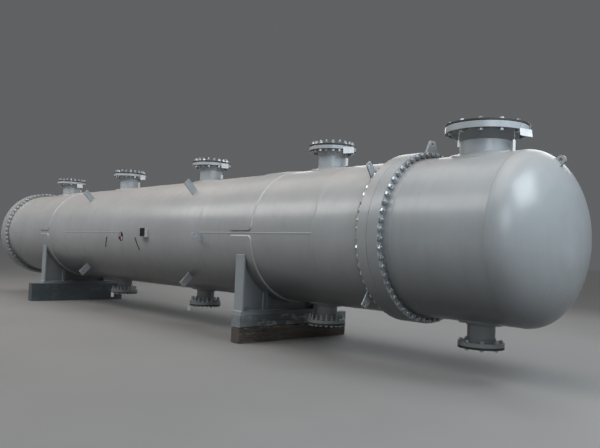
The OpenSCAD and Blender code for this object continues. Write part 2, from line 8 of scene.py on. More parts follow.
import bpy
import numpy as np
from bpy.props import FloatProperty, FloatVectorProperty, IntProperty, PointerProperty
from mathutils import Matrix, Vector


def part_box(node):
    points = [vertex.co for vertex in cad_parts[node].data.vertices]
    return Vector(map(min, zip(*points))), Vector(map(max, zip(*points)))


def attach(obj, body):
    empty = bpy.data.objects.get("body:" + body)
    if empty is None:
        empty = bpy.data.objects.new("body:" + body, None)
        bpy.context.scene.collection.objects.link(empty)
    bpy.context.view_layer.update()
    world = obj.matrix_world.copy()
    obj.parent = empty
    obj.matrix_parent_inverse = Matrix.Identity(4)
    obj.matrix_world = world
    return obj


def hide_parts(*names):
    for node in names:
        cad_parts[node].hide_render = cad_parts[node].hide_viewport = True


bl_info = {
    "name": "Heat exchanger finish",
    "version": (1, 0, 0),
    "blender": (4, 5, 0),
    "location": "3D View > Sidebar > Exchanger",
    "description": "Paint, bolting, welds, tags and a stage for a packed heat exchanger",
    "category": "Object",
}

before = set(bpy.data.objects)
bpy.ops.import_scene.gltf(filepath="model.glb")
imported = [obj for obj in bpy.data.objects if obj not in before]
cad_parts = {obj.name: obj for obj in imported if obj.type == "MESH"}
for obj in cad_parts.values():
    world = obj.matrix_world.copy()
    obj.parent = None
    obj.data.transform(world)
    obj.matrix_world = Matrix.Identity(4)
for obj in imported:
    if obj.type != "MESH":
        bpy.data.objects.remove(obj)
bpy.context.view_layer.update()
ROOT = "root"
ALONG = np.array([1.0, 0.0, 0.0])
ACROSS = np.array([0.0, 1.0, 0.0])
UP = np.array([0.0, 0.0, 1.0])
TURN = 2 * np.pi
QUARTER = np.pi / 2


def low(node):
    """Lowest corner of a CAD node."""
    return np.array(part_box(node)[0])


def high(node):
    """Highest corner of a CAD node."""
    return np.array(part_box(node)[1])


def middle(node):
    """Middle of a CAD node's box."""
    return (low(node) + high(node)) / 2


def size(node):
    """Length, width and height of a CAD node's box."""
    return high(node) - low(node)


JOINT_FRONT = middle("gasket_front")[0]
JOINT_REAR = middle("gasket_rear")[0]
AXIS_Z = middle("shell")[2]
SHELL_R = high("shell")[1]
RIM_R = high("channel_flange")[1]
WRAPPER_R = AXIS_Z - low("wrapper_front")[2]


# Settings


def tint(name, description, default):
    """Colour setting."""
    return FloatVectorProperty(
        name=name, description=description, subtype="COLOR", size=3, min=0.0, max=1.0, default=default
    )


def number(name, description, default, **kind):
    """Setting that is a number, with its unit or lowest value."""
    return FloatProperty(name=name, description=description, default=default, **kind)


def metres(name, description, default):
    """Setting that is a length."""
    return number(name, description, default, unit="LENGTH", subtype="DISTANCE")


def angle(name, description, default):
    """Setting that is an angle."""
    return number(name, description, default, unit="ROTATION", subtype="ANGLE")


def watts(name, description, default):
    """Setting that is the power of a light."""
    return number(name, description, default, unit="POWER", min=0.0)


def whole(name, description, default):
    """Setting that counts bolts or holes."""
    return IntProperty(name=name, description=description, default=default, min=4)


class VesselSizes(bpy.types.PropertyGroup):
    shell_flange: metres("Shell flange", "Thickness of the girth flanges on the shell side", 0.146)
    channel_flange: metres("Channel flange", "Thickness of the girth flanges on the channel side", 0.161)
    plate_joint: metres("First plate joint", "First ring seam of the shell behind the girth joint", 1.01)
    plate_length: metres("Plate length", "Distance between the ring seams of the shell", 2.647)
    web: metres("Saddle web", "Plate of the saddle webs", 0.024)
    rib: metres("Saddle rib", "Plate of the saddle ribs", 0.026)
    middle_rib: metres("Middle ribs", "Distance of the middle ribs from the vessel's middle", 0.5)
    wrapper_gap: metres("Wrapper gap", "Gap between the upper and the lower wrapper plates", 0.086)
    wrapper_corner: metres("Wrapper corner", "Radius of the wrapper plates' corners", 0.06)
    top_neck: metres("Top necks", "Radius of the necks on top of the shell", 0.205)
    low_neck: metres("Low necks", "Radius of the necks under the shell", 0.158)
    inlet_neck: metres("Inlet neck", "Radius of the neck on top of the channel", 0.306)
    outlet_neck: metres("Outlet neck", "Radius of the neck under the channel", 0.162)
    pad_ring: metres("Pad ring", "Width of the pad round each neck", 0.09)
    raised_face: metres("Raised face", "Height of the raised face of each nozzle flange", 0.006)
    top_flange: metres("Top flange", "Thickness of the flanges on top of the shell", 0.050)
    low_flange: metres("Low flange", "Thickness of the flanges under the shell", 0.048)
    inlet_flange: metres("Inlet flange", "Thickness of the flange on top of the channel", 0.074)
    outlet_flange: metres("Outlet flange", "Thickness of the flange under the channel", 0.048)
    lug: metres("Lug plate", "Plate of the lugs on the shell", 0.016)
    side_plate: metres("Side plate", "Plate of the lug at the side", 0.014)
    bracket: metres("Bracket", "Plate of the nameplate bracket", 0.008)
    eye: metres("Eye plate", "Plate of the lifting eyes", 0.030)
    joint_eye_width: metres("Joint eye width", "Width of the foot of the joint's eye", 0.250)
    head_eye_width: metres("Head eye width", "Width of the foot of the head's eye", 0.104)
    head_eye_at: metres("Head eye", "Distance of the head's eye from the edge of the barrel", 0.285)


class BoltingSizes(bpy.types.PropertyGroup):
    girth_bolts: whole("Girth bolts", "Bolts in each girth joint", 60)
    girth_edge: metres("Girth edge", "Distance from the bolt circle to the rim of a girth flange", 0.038)
    girth_stud: metres("Girth stud", "Diameter of the studs of the girth joints", 0.036)
    girth_nut: metres("Girth nut", "Width across the flats of the girth nuts", 0.060)
    girth_tip: metres("Girth tip", "Reach of the girth studs past their nuts", 0.014)
    top_stud: metres("Top stud", "Diameter of the studs on top of the shell", 0.033)
    top_nut: metres("Top nut", "Width across the flats of the nuts on top of the shell", 0.050)
    low_stud: metres("Low stud", "Diameter of the studs under the vessel", 0.027)
    low_nut: metres("Low nut", "Width across the flats of the nuts under the vessel", 0.042)
    inlet_stud: metres("Inlet stud", "Diameter of the studs of the inlet's cover", 0.031)
    inlet_nut: metres("Inlet nut", "Width across the flats of the inlet's nuts", 0.049)
    thin: number("Thin nuts", "Height over diameter of the nuts on the low and the channel's covers", 0.7)
    top_tip: metres("Top tip", "Reach of the studs over the nuts on top of the shell", 0.024)
    low_tip: metres("Low tip", "Reach of the studs over the nuts under the shell", 0.048)
    short_tip: metres("Short tip", "Reach of the lower stud ends on top of the shell", 0.006)
    flush_tip: metres("Flush tip", "Reach of the stud ends that are nearly flush", 0.002)
    top_edge: metres("Top edge", "Distance from the bolt circle to the rim on top of the shell", 0.048)
    low_edge: metres("Low edge", "Distance from the bolt circle to the rim under the shell", 0.038)
    inlet_edge: metres("Inlet edge", "Distance from the bolt circle to the rim of the inlet", 0.045)
    outlet_edge: metres("Outlet edge", "Distance from the bolt circle to the rim of the outlet", 0.040)
    nozzle_holes: whole("Nozzle holes", "Holes in each shell nozzle flange", 20)
    inlet_holes: whole("Inlet holes", "Holes in the inlet's flange", 24)
    outlet_holes: whole("Outlet holes", "Holes in the outlet's flange", 16)


class WeldSizes(bpy.types.PropertyGroup):
    seam_width: metres("Seam width", "Width of the butt seams", 0.028)
    seam_rise: metres("Seam rise", "Height of the butt seams over the plate", 0.003)
    pad_leg: metres("Pad weld", "Leg of the fillet welds round the pads and wrappers", 0.015)
    plate_leg: metres("Plate weld", "Leg of the fillet welds along ribs and lugs", 0.010)
    ripple: metres("Ripple", "Pitch of the ripples along a weld", 0.007)


class FinishColours(bpy.types.PropertyGroup):
    vessel: tint("Vessel paint", "Satin grey of the shell", (0.378, 0.392, 0.400))
    channel: tint("Channel paint", "Cooler grey of the channel", (0.36, 0.385, 0.398))
    nozzle: tint("Nozzle paint", "Grey of the upper nozzles", (0.45, 0.485, 0.51))
    # Painted shade: the nozzles under the vessel take a darker copy of the nozzle grey
    low_nozzle: tint("Low nozzle paint", "Dark grey of the nozzles under the vessel", (0.25, 0.268, 0.275))
    lug: tint("Lug paint", "Grey of the lugs and the side plate", (0.38, 0.41, 0.43))
    saddle: tint("Saddle paint", "Thinner grey of the saddles", (0.31, 0.345, 0.36))
    # Painted highlight: a lighter grey along the rear wrapper's welds
    rear_weld: tint("Rear weld highlight", "Paint over the rear wrapper's welds", (0.46, 0.47, 0.47))
    # Painted highlight: a lighter grey for the light caught along the front wrapper's welds and on the
    # nameplate bracket
    touched: tint("Touched-up paint", "Brighter grey along the front wrapper plates", (0.54, 0.55, 0.55))
    cover: tint("Cover plate", "Dark plate of the nozzle covers", (0.05, 0.048, 0.047))
    gasket: tint("Gasket", "Graphite of the gaskets", (0.02, 0.02, 0.022))
    steel: tint("Machined steel", "Bare turned steel", (0.40, 0.40, 0.39))
    zinc: tint("Zinc", "Plating of the studs and nuts", (0.50, 0.53, 0.545))
    packing: tint("Packing paint", "Paint of the packing under the front saddle", (0.20, 0.225, 0.235))
    block: tint("Block paint", "Paint of the block under the rear saddle", (0.055, 0.072, 0.083))
    timber: tint("Timber", "Weathered sawn timber", (0.085, 0.072, 0.062))
    card: tint("Card", "Blank tags and strips", (0.80, 0.81, 0.82))
    plate: tint("Nameplate", "Blank dark plate on the bracket", (0.012, 0.014, 0.016))
    mark_red: tint("Red mark", "Red paint of the marks", (0.07, 0.010, 0.014))
    mark_dark: tint("Dark mark", "Dark red paint of the balance mark", (0.014, 0.006, 0.008))
    mark_white: tint("White mark", "White paint of the marks", (0.42, 0.35, 0.34))
    floor: tint("Floor", "Pale floor", (0.255, 0.248, 0.242))


class StageSettings(bpy.types.PropertyGroup):
    camera_at: FloatVectorProperty(
        name="Camera", description="Place of the camera", subtype="XYZ", unit="LENGTH", size=3,
        default=(10.7315, -6.6954, 1.3594),
    )
    heading: angle("Heading", "Angle of the view from the vessel's axis", 0.7467)
    pitch: angle("Pitch", "Angle of the view over the horizontal", 0.0459)
    roll: angle("Roll", "Turn of the camera about its view", 0.04)
    lens: number("Lens", "Focal length in millimetres", 37.8, min=1.0)
    sky: number("Sky", "Strength of the even light all round", 0.135, min=0.0)
    skylight: number("Skylight", "Strength of the soft light from high above", 0.9, min=0.0)
    skylight_spread: angle("Skylight spread", "Width of the soft light from high above", 0.9)
    skylight_lean: angle("Skylight lean", "Lean of the soft light to the near side", math.radians(20.0))
    overhead: watts("Overhead", "Power of the light overhead", 190.0)
    near_side: watts("Near side", "Power of the light over the near side", 680.0)
    far_side: watts("Far side", "Power of the light over the far side", 420.0)
    channel_end: watts("Channel end", "Power of the cool light over the channel", 480.0)
    channel_corner: watts("Channel corner", "Power of the cool light off the channel's corner", 170.0)


def settings(name):
    """One group of the settings above, such as vessel or welds."""
    return getattr(bpy.context.scene, "exchanger_" + name)


# Meshes


def loft(rings, closed=False):
    """Closed surfaces through rings of points, from an array [item, ring, point, xyz].

    Point j of ring i is joined to its neighbours i + 1 and j + 1. The ends are closed by fans round the
    rings' middles, or the last ring is joined to the first. The map runs along the rings in metres, and once
    around.
    """
    rings = np.asarray(rings, float)
    if rings.ndim == 3:
        rings = rings[None]
    items, count, sides, _ = rings.shape
    spans = count if closed else count - 1
    index = np.arange(items * count * sides).reshape(items, count, sides)
    after = np.roll(index, -1, axis=2)
    ahead, corner = (np.roll(grid, -1, axis=1)[:, :spans] for grid in (index, after))
    quads = np.stack([index[:, :spans], after[:, :spans], corner, ahead], -1).reshape(-1, 4)
    steps = np.linalg.norm(np.roll(rings, -1, axis=1) - rings, axis=3).mean(2)
    along = np.pad(np.cumsum(steps, 1), ((0, 0), (1, 0)))
    u0, u1 = (np.repeat(along[:, i : i + spans, None], sides, 2) for i in (0, 1))
    v0 = np.broadcast_to(np.arange(sides) / sides, u0.shape)
    v1 = v0 + 1 / sides
    quad_map = np.stack([u0, v0, u0, v1, u1, v1, u1, v0], -1).reshape(-1, 4, 2)
    points, tris = rings.reshape(-1, 3), np.zeros((0, 3), int)
    if not closed:
        hubs = len(points) + np.arange(2 * items).reshape(items, 2, 1) + np.zeros(sides, int)
        start = np.stack([hubs[:, 0], after[:, 0], index[:, 0]], -1)
        end = np.stack([hubs[:, 1], index[:, -1], after[:, -1]], -1)
        tris = np.concatenate([start, end]).reshape(-1, 3)
        points = np.concatenate([points, rings[:, [0, -1]].mean(2).reshape(-1, 3)])
    a, b, c, d = (points[quads[:, i]] for i in range(4))
    e, f, g = (points[tris[:, i]] for i in range(3))
    volume = (np.cross(a, b) * c).sum() + (np.cross(a, c) * d).sum() + (np.cross(e, f) * g).sum()
    if volume < 0:
        quads, quad_map, tris = quads[:, ::-1], quad_map[:, ::-1], tris[:, ::-1]
    return points, quads, tris, quad_map


def piece(name, parts, finish, sharp=35.0):
    """Joins lofted parts into one object on the vessel, smooth but where it turns by over sharp degrees."""
    points, quads, tris, maps = zip(*parts)
    offsets = np.cumsum([0] + [len(p) for p in points[:-1]])
    quads, tris = (np.concatenate([f + o for f, o in zip(faces, offsets)]) for faces in (quads, tris))
    points = np.concatenate(points)
    uv = np.concatenate([m.reshape(-1, 2) for m in maps] + [np.zeros((tris.size, 2))])
    starts = np.concatenate([np.arange(len(quads)) * 4, quads.size + np.arange(len(tris)) * 3])
    mesh = bpy.data.meshes.new(name)
    mesh.vertices.add(len(points))
    mesh.vertices.foreach_set("co", points.ravel())
    mesh.loops.add(quads.size + tris.size)
    corners = np.concatenate([quads.ravel(), tris.ravel()])
    mesh.loops.foreach_set("vertex_index", corners.astype(np.int32))
    mesh.polygons.add(len(starts))
    mesh.polygons.foreach_set("loop_start", starts.astype(np.int32))
    mesh.uv_layers.new(name="Along").data.foreach_set("uv", uv.ravel())
    mesh.update(calc_edges=True)
    mesh.validate()
    mesh.shade_smooth()
    mesh.set_sharp_from_angle(angle=math.radians(sharp))
    mesh.materials.append(FINISH[finish])
    obj = bpy.data.objects.new(name, mesh)
    bpy.context.scene.collection.objects.link(obj)
    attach(obj, ROOT)
    return obj


def unit(vectors):
    """Vectors along the last axis at unit length."""
    return vectors / np.linalg.norm(vectors, axis=-1, keepdims=True)


def around(count, offset=0.0):
    """Angles of even steps round a turn: a = (step + offset)·turn / count."""
    return (np.arange(count) + offset) * TURN / count


def place(shape, origins, axes):
    """Rings [item, ring, point, xyz] at origins, along axes: point = origin + x·side + y·across + z·axis."""
    axes = unit(axes)
    helper = np.where(np.abs(axes[:, :1]) > 0.7, [UP], [ALONG])
    side = unit(np.cross(helper, axes))
    across = np.cross(axes, side)
    origins, side, across, axes = (part[:, None, None] for part in (origins, side, across, axes))
    return origins + shape[..., :1] * side + shape[..., 1:2] * across + shape[..., 2:] * axes


def rounded(x0, x1, y0, y1, r, steps):
    """Loop round a rectangle whose corners are quarter circles: point = (cx + r·cos a, cy + r·sin a)."""
    a = np.linspace(0, QUARTER, steps) + np.arange(4)[:, None] * QUARTER
    cx = np.array([x1 - r, x0 + r, x0 + r, x1 - r])[:, None]
    cy = np.array([y1 - r, y1 - r, y0 + r, y0 + r])[:, None]
    return np.stack([cx + r * np.cos(a), cy + r * np.sin(a)], -1).reshape(-1, 2)


# Materials

FINISH = {}


class Shader:
    """A material with one Principled shader, and short calls that add and join its nodes."""

    def __init__(self, name, **constant):
        """Starts the material, with constant values on the shader's own sockets."""
        self.material = bpy.data.materials.new(name)
        self.material.use_nodes = True
        self.tree = self.material.node_tree
        self.shader = self.tree.nodes["Principled BSDF"]
        self.coords = self.tree.nodes.new("ShaderNodeTexCoord")
        for socket, value in constant.items():
            self.shader.inputs[socket.replace("_", " ")].default_value = value

    def node(self, kind, links, **options):
        """Adds a node, with its options set and its sockets joined to other nodes or set to constants."""
        made = self.tree.nodes.new("ShaderNode" + kind)
        for key, value in options.items():
            setattr(made, key, value)
        for socket, source in links.items():
            if hasattr(source, "is_output"):
                self.tree.links.new(source, made.inputs[socket])
            else:
                made.inputs[socket].default_value = source
        return made

    def where(self, stretch, source="Object"):
        """Object coordinates, or the piece's own map, multiplied by stretch."""
        links = {"Vector": self.coords.outputs[source], "Scale": stretch}
        return self.node("Mapping", links).outputs["Vector"]

    def noise(self, scale, detail, rough, stretch=(1.0, 1.0, 1.0), distortion=0.0):
        """Noise over the object coordinates."""
        links = {"Vector": self.where(stretch), "Scale": scale, "Detail": detail, "Roughness": rough}
        return self.node("TexNoise", links | {"Distortion": distortion}).outputs["Fac"]

    def waves(self, pitch, profile, distortion=0.0):
        """Waves along the first direction of the piece's own map, a pitch in metres apart."""
        links = {"Vector": self.where((1.0, 0.0, 0.0), "UV"), "Scale": math.pi / 10 / pitch}
        links |= {"Distortion": distortion, "Detail": 2.0, "Detail Scale": 3.0}
        return self.node("TexWave", links, wave_profile=profile).outputs["Fac"]

    def level(self, value, a, b, low_to=0.0, high_to=1.0):
        """Stretches value so that a becomes low_to and b becomes high_to, held between them."""
        links = {"Value": value, "From Min": a, "From Max": b, "To Min": low_to, "To Max": high_to}
        return self.node("MapRange", links).outputs["Result"]

    def math(self, operation, a, b):
        """Result of one operation on two values."""
        return self.node("Math", {0: a, 1: b}, operation=operation).outputs["Value"]

    def blend(self, factor, a, b):
        """Colour from a to b by a factor."""
        return self.node("Mix", {0: factor, 6: a, 7: b}, data_type="RGBA").outputs[2]

    def mottle(self, value, a, b, colour, dark, light):
        """Shades of a colour, from colour × dark where value is a to colour × light where it is b."""
        return self.blend(self.level(value, a, b), rgba(colour, dark), rgba(colour, light))

    def over(self, tone, value, a, b, amount, colour, factor=1.0):
        """Lays colour × factor over tone, from nothing where value is a to amount where it is b."""
        return self.blend(self.level(value, a, b, 0.0, amount), tone, rgba(colour, factor))

    def up(self):
        """How far the surface faces up, from -1 to 1."""
        return self.node("SeparateXYZ", {"Vector": self.coords.outputs["Normal"]}).outputs["Z"]

    def aside(self):
        """Distance from the upright plane through the vessel's axis."""
        y = self.node("SeparateXYZ", {"Vector": self.coords.outputs["Object"]}).outputs["Y"]
        return self.math("ABSOLUTE", y, 0.0)

    def bump(self, height, depth, strength, below=None):
        """Bumps of a depth in metres, on top of the bumps below."""
        links = {"Height": height, "Strength": strength, "Distance": depth}
        if below is not None:
            links["Normal"] = below
        return self.node("Bump", links).outputs["Normal"]

    def done(self, **sources):
        """Joins the sources to the shader's sockets of the same names, and gives the material."""
        for socket, source in sources.items():
            self.tree.links.new(source, self.shader.inputs[socket.replace("_", " ")])
        return self.material


def rgba(colour, factor=1.0):
    """Colour × factor, held under 1, with a full alpha."""
    return tuple(min(1.0, c * factor) for c in colour) + (1.0,)


HALL_DUST = (0.585, 0.485, 0.405)
YARD_DUST = (0.25, 0.24, 0.23)
# Distances from the vessel's middle plane between which painted shade darkens the paint under it
UNDER_SHADE_REACH = (1.02, 0.35)


def painted(
    name, colour, rough=0.33, dust=0.42, dust_colour=HALL_DUST, ripple=0.0, wear=0.0, thin=0.88, under_vessel_shade=0.0
):
    """Sprayed paint: slow mottling, streaks that run down, dust on top, orange peel, and ripples on a weld.

    wear is how much of it is scraped and scuffed. thin is how strongly painted shade darkens faces that look
    down, and the last setting how strongly it darkens the paint under the vessel, towards its middle.
    """
    s = Shader(name, Coat_Weight=0.35, Coat_Roughness=0.22)
    patch = s.noise(5.0, 5.0, 0.6)
    tone = s.mottle(s.noise(0.9, 3.0, 0.5), 0.3, 0.7, colour, 0.90, 1.07)
    tone = s.over(tone, patch, 0.35, 0.75, 0.45, colour, 0.84)
    tone = s.over(tone, s.noise(1.0, 5.0, 0.6, (9.0, 1.2, 0.7)), 0.50, 0.75, 0.35, colour, 0.74)
    tone = s.over(tone, s.noise(60.0, 2.0, 0.5), 0.70, 0.78, 0.35, colour, 0.55)
    up = s.up()
    lies = s.level(s.noise(2.2, 6.0, 0.65), 0.25, 0.7, 0.35, 1.0)
    settled = s.math("MULTIPLY", s.level(up, 0.25, 0.95), lies)
    tone = s.blend(s.math("MULTIPLY", settled, dust), tone, rgba(dust_colour))
    # Painted shade: faces that look down darken towards colour × 0.2
    tone = s.over(tone, up, -0.08, -0.78, thin, colour, 0.2)
    # Painted shade under the vessel: darker towards its middle plane, down to colour × 0.12
    if under_vessel_shade:
        tone = s.over(tone, s.aside(), *UNDER_SHADE_REACH, under_vessel_shade, colour, 0.12)
    if wear:
        tone = s.over(tone, s.noise(3.2, 7.0, 0.72, (1.0, 1.0, 2.2)), 0.50, 0.64, wear, colour, 2.1)
        tone = s.over(tone, s.noise(22.0, 6.0, 0.7), 0.60, 0.66, wear, colour, 0.35)
    gloss = s.level(patch, 0.25, 0.75, rough - 0.05, rough + 0.07)
    normal = s.bump(s.noise(1.7, 2.0, 0.4), 0.004, 0.35)
    normal = s.bump(s.noise(260.0, 2.0, 0.5), 0.0004, 0.35, normal)
    if ripple:
        normal = s.bump(s.waves(ripple, "SAW", 1.5), 0.0012, 0.6, normal)
    gloss = s.math("ADD", gloss, s.math("MULTIPLY", settled, 0.12))
    return s.done(Base_Color=tone, Roughness=gloss, Normal=normal)


# Pitch of the studs' thread
THREAD = 0.004


def plated(name, colour, thread=0.0):
    """Zinc plating: small spangle and dull, darker patches, with a thread along the studs."""
    s = Shader(name, Metallic=0.85)
    spangle = s.noise(180.0, 3.0, 0.6)
    dull = s.noise(26.0, 4.0, 0.6)
    tone = s.mottle(spangle, 0.3, 0.7, colour, 0.82, 1.1)
    tone = s.over(tone, dull, 0.55, 0.75, 0.5, colour, 0.45)
    normal = s.bump(spangle, 0.0003, 0.4)
    if thread:
        normal = s.bump(s.waves(thread, "TRI"), 0.0016, 0.9, normal)
    return s.done(Base_Color=tone, Roughness=s.level(dull, 0.3, 0.7, 0.24, 0.46), Normal=normal)


def turned_steel(name, colour):
    """Turned steel: fine tool marks, a faint brown bloom and oil marks."""
    s = Shader(name, Metallic=0.75)
    marks = s.noise(8.0, 3.0, 0.5, (90.0, 4.0, 4.0))
    bloom = s.noise(9.0, 6.0, 0.65)
    tone = s.mottle(marks, 0.3, 0.7, colour, 0.9, 1.08)
    tone = s.over(tone, bloom, 0.52, 0.72, 0.55, (0.22, 0.15, 0.10))
    rough = s.level(bloom, 0.3, 0.75, 0.32, 0.6)
    return s.done(Base_Color=tone, Roughness=rough, Normal=s.bump(marks, 0.0003, 0.4))


def mill_plate(name, colour):
    """Hot rolled cover plate: blue-black scale that has gone brown in patches, with dust on top."""
    s = Shader(name, Metallic=0.25)
    scale = s.noise(7.0, 6.0, 0.65)
    tone = s.mottle(scale, 0.3, 0.7, colour, 0.75, 1.35)
    tone = s.over(tone, s.noise(16.0, 5.0, 0.6, distortion=0.6), 0.52, 0.70, 0.55, (0.13, 0.072, 0.045))
    lies = s.level(s.noise(3.0, 6.0, 0.7), 0.3, 0.7, 0.15, 0.6)
    settled = s.math("MULTIPLY", s.level(s.up(), 0.4, 1.0), lies)
    tone = s.blend(settled, tone, rgba((0.33, 0.31, 0.29)))
    normal = s.bump(s.noise(70.0, 4.0, 0.6), 0.0008, 0.5)
    return s.done(Base_Color=tone, Roughness=s.level(scale, 0.3, 0.7, 0.45, 0.72), Normal=normal)


def fibre(name, colour):
    """Pressed graphite of the gaskets, with fine flakes."""
    s = Shader(name)
    flake = s.noise(140.0, 3.0, 0.7)
    tone = s.mottle(flake, 0.35, 0.7, colour, 0.7, 1.8)
    rough = s.level(flake, 0.3, 0.7, 0.5, 0.75)
    return s.done(Base_Color=tone, Roughness=rough, Normal=s.bump(flake, 0.0004, 0.6))


def sawn_timber(name, colour):
    """Old sawn timber along Y: stretched grain, dark cracks, pale bruised fibres at the edges and on top."""
    s = Shader(name)
    grain = s.noise(9.0, 8.0, 0.65, (7.0, 0.45, 7.0), 0.4)
    crack = s.noise(5.0, 6.0, 0.6, (9.0, 0.35, 9.0), 0.8)
    tone = s.mottle(grain, 0.3, 0.72, colour, 0.55, 1.7)
    tone = s.over(tone, s.noise(2.6, 5.0, 0.6), 0.45, 0.75, 0.6, colour, 0.45)
    fibres = s.level(s.noise(11.0, 6.0, 0.7), 0.42, 0.6)
    bruise = s.math("MULTIPLY", s.level(s.up(), 0.05, 0.6), fibres)
    tone = s.blend(bruise, tone, rgba((0.38, 0.32, 0.26)))
    tone = s.over(tone, crack, 0.64, 0.70, 0.9, (0.008, 0.007, 0.006))
    normal = s.bump(grain, 0.003, 0.7, s.bump(crack, 0.006, 0.5))
    return s.done(Base_Color=tone, Roughness=s.level(grain, 0.3, 0.7, 0.72, 0.92), Normal=normal)


def card(name, colour):
    """Blank tag card: faint creases, a little dirt."""
    s = Shader(name, Roughness=0.5)
    crease = s.noise(14.0, 4.0, 0.6, distortion=1.2)
    tone = s.over(rgba(colour), crease, 0.5, 0.75, 0.3, colour, 0.72)
    return s.done(Base_Color=tone, Normal=s.bump(crease, 0.003, 0.5))


def dark_plate(name, colour):
    """Blank anodised plate with a brushed grain."""
    s = Shader(name, Metallic=0.4)
    brushed = s.noise(30.0, 4.0, 0.6, (1.0, 1.0, 22.0))
    tone = s.mottle(brushed, 0.3, 0.75, colour, 0.8, 2.2)
    rough = s.level(brushed, 0.3, 0.7, 0.3, 0.5)
    return s.done(Base_Color=tone, Roughness=rough, Normal=s.bump(brushed, 0.0003, 0.5))


def marking(name, colour, under):
    """Painted mark that has thinned in places, so that the grey shows through."""
    s = Shader(name, Roughness=0.45)
    tone = s.over(rgba(colour), s.noise(34.0, 5.0, 0.7), 0.55, 0.70, 0.35, under)
    return s.done(Base_Color=tone, Normal=s.bump(s.noise(260.0, 2.0, 0.5), 0.0004, 0.3))


def stage_floor(name, colour):
    """Pale sealed floor with faint clouds."""
    s = Shader(name)
    cloud = s.noise(0.35, 5.0, 0.6)
    tone = s.mottle(cloud, 0.3, 0.7, colour, 0.95, 1.04)
    return s.done(Base_Color=tone, Roughness=s.level(cloud, 0.3, 0.7, 0.55, 0.7))


# Paints: finish, material, colour, and what sets its look apart
PAINTS = (
    ("vessel_paint", "vessel_paint_satin", "vessel", {}),
    ("channel_paint", "channel_paint_satin", "channel", {"dust": 0.3}),
    # The packing and the saddles darken towards the vessel's middle plane: painted shade under the vessel
    ("packing_paint", "packing_paint_scuffed", "packing", {"rough": 0.5, "wear": 0.7, "under_vessel_shade": 0.8}),
    ("block_paint", "block_paint_scuffed", "block", {"rough": 0.55, "dust_colour": YARD_DUST, "wear": 0.6}),
    ("saddle", "saddle_paint_satin", "saddle", {"rough": 0.42, "dust": 0.3, "under_vessel_shade": 0.85}),
    # The necks' paint darkens most on faces that look down, under their flanges: painted shade
    ("neck", "nozzle_paint_satin", "nozzle", {"dust": 0.25, "thin": 0.95}),
    # Darker copy of the nozzle paint for the nozzles under the vessel: painted shade
    ("low_neck", "low_nozzle_paint_satin", "low_nozzle", {"rough": 0.4, "dust": 0.2}),
    ("lug", "lug_paint_satin", "lug", {"rough": 0.4, "dust": 0.2}),
    # The nameplate bracket takes the lighter grey: a painted highlight
    ("bracket", "bracket_paint_satin", "touched", {"rough": 0.27, "dust": 0.2}),
    ("vessel_weld", "vessel_paint_on_weld", "vessel", {}),
    ("saddle_weld", "saddle_paint_on_weld", "saddle", {"rough": 0.42}),
    # Lighter greys on the wrapper welds: painted highlights
    ("touched_weld", "touched_up_paint_on_weld", "touched", {"rough": 0.27}),
    ("rear_weld", "rear_wrapper_paint_on_weld", "rear_weld", {"rough": 0.3}),
    ("channel_weld", "channel_paint_on_weld", "channel", {"dust": 0.3}),
)
# Material slots in the record, for the finishes that aren't called after theirs
NODE_FINISH = {"shell_lugs": "lug", "side_plate": "lug", "nameplate_bracket": "bracket"}


def finish_of(node, slot):
    """Finish of a CAD node, from its name where that decides, or else from its material slot."""
    if "nozzle" in node and "pads" not in node:
        # Nozzles under the vessel take the darker copy of the nozzle paint, as painted shade
        return "neck" if middle(node)[2] > AXIS_Z else "low_neck"
    if node.startswith("saddle"):
        return "saddle"
    return NODE_FINISH.get(node, slot)


class EXCHANGER_OT_finishes(bpy.types.Operator):
    """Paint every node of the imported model"""

    bl_idname = "exchanger.finishes"
    bl_label = "Paint the vessel"

    def execute(self, context):
        c = settings("colours")
        ripple = settings("welds").ripple
        for key, name, colour, looks in PAINTS:
            weld = {"ripple": ripple} if key.endswith("_weld") else {}
            FINISH[key] = painted(name, getattr(c, colour), **looks, **weld)
        FINISH["cover_plate"] = mill_plate("cover_plate_scale", c.cover)
        FINISH["gasket"] = fibre("gasket_graphite", c.gasket)
        FINISH["machined_steel"] = turned_steel("turned_steel", c.steel)
        FINISH["timber"] = sawn_timber("sawn_timber", c.timber)
        FINISH["stud"] = plated("zinc_stud", c.zinc, THREAD)
        FINISH["nut"] = plated("zinc_nut", c.zinc)
        FINISH["card"] = card("blank_card", c.card)
        FINISH["plate"] = dark_plate("blank_plate", c.plate)
        for key in ("mark_red", "mark_dark", "mark_white"):
            FINISH[key] = marking(key, getattr(c, key), c.vessel)
        for name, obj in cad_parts.items():
            finish = finish_of(name, obj.material_slots[0].material.name)
            for slot in obj.material_slots:
                slot.material = FINISH[finish]
        return {"FINISHED"}


# Bolting

AROUND = 12
# Bevel and top radius of a nut over its width, and bevel of a stud over its diameter
NUT_BEVEL, NUT_TOP, STUD_BEVEL = 0.07, 0.48, 0.1
# Lean of the studs, and how far they are shifted: a share of the longer tip, and at most so many metres
LEAN, SHIFT, MOST_SHIFT = 0.006, 0.25, 0.008


def turned_rings(radii, heights, turn):
    """Rings about Z: point = (r·cos(a + turn), r·sin(a + turn), height), r given for each ring and angle."""
    a = around(AROUND) + np.asarray(turn)[:, None, None]
    radii = np.broadcast_to(radii, a.shape[:1] + radii.shape)
    heights = np.broadcast_to(np.asarray(heights)[..., None], radii.shape)
    return np.stack([radii * np.cos(a), radii * np.sin(a), heights], -1)


def nut_rings(flats, height, turn):
    """Hexagon nut: radius = (flats / 2) / cos(angle from the nearest flat), with a cone over its corners."""
    to_flat = (around(AROUND) + np.pi / 6) % (np.pi / 3) - np.pi / 6
    hexagon = flats / 2 / np.cos(to_flat)
    radii = np.stack([hexagon, hexagon, np.full(AROUND, flats * NUT_TOP)])
    return turned_rings(radii, [0.0, height - flats * NUT_BEVEL, height], turn)


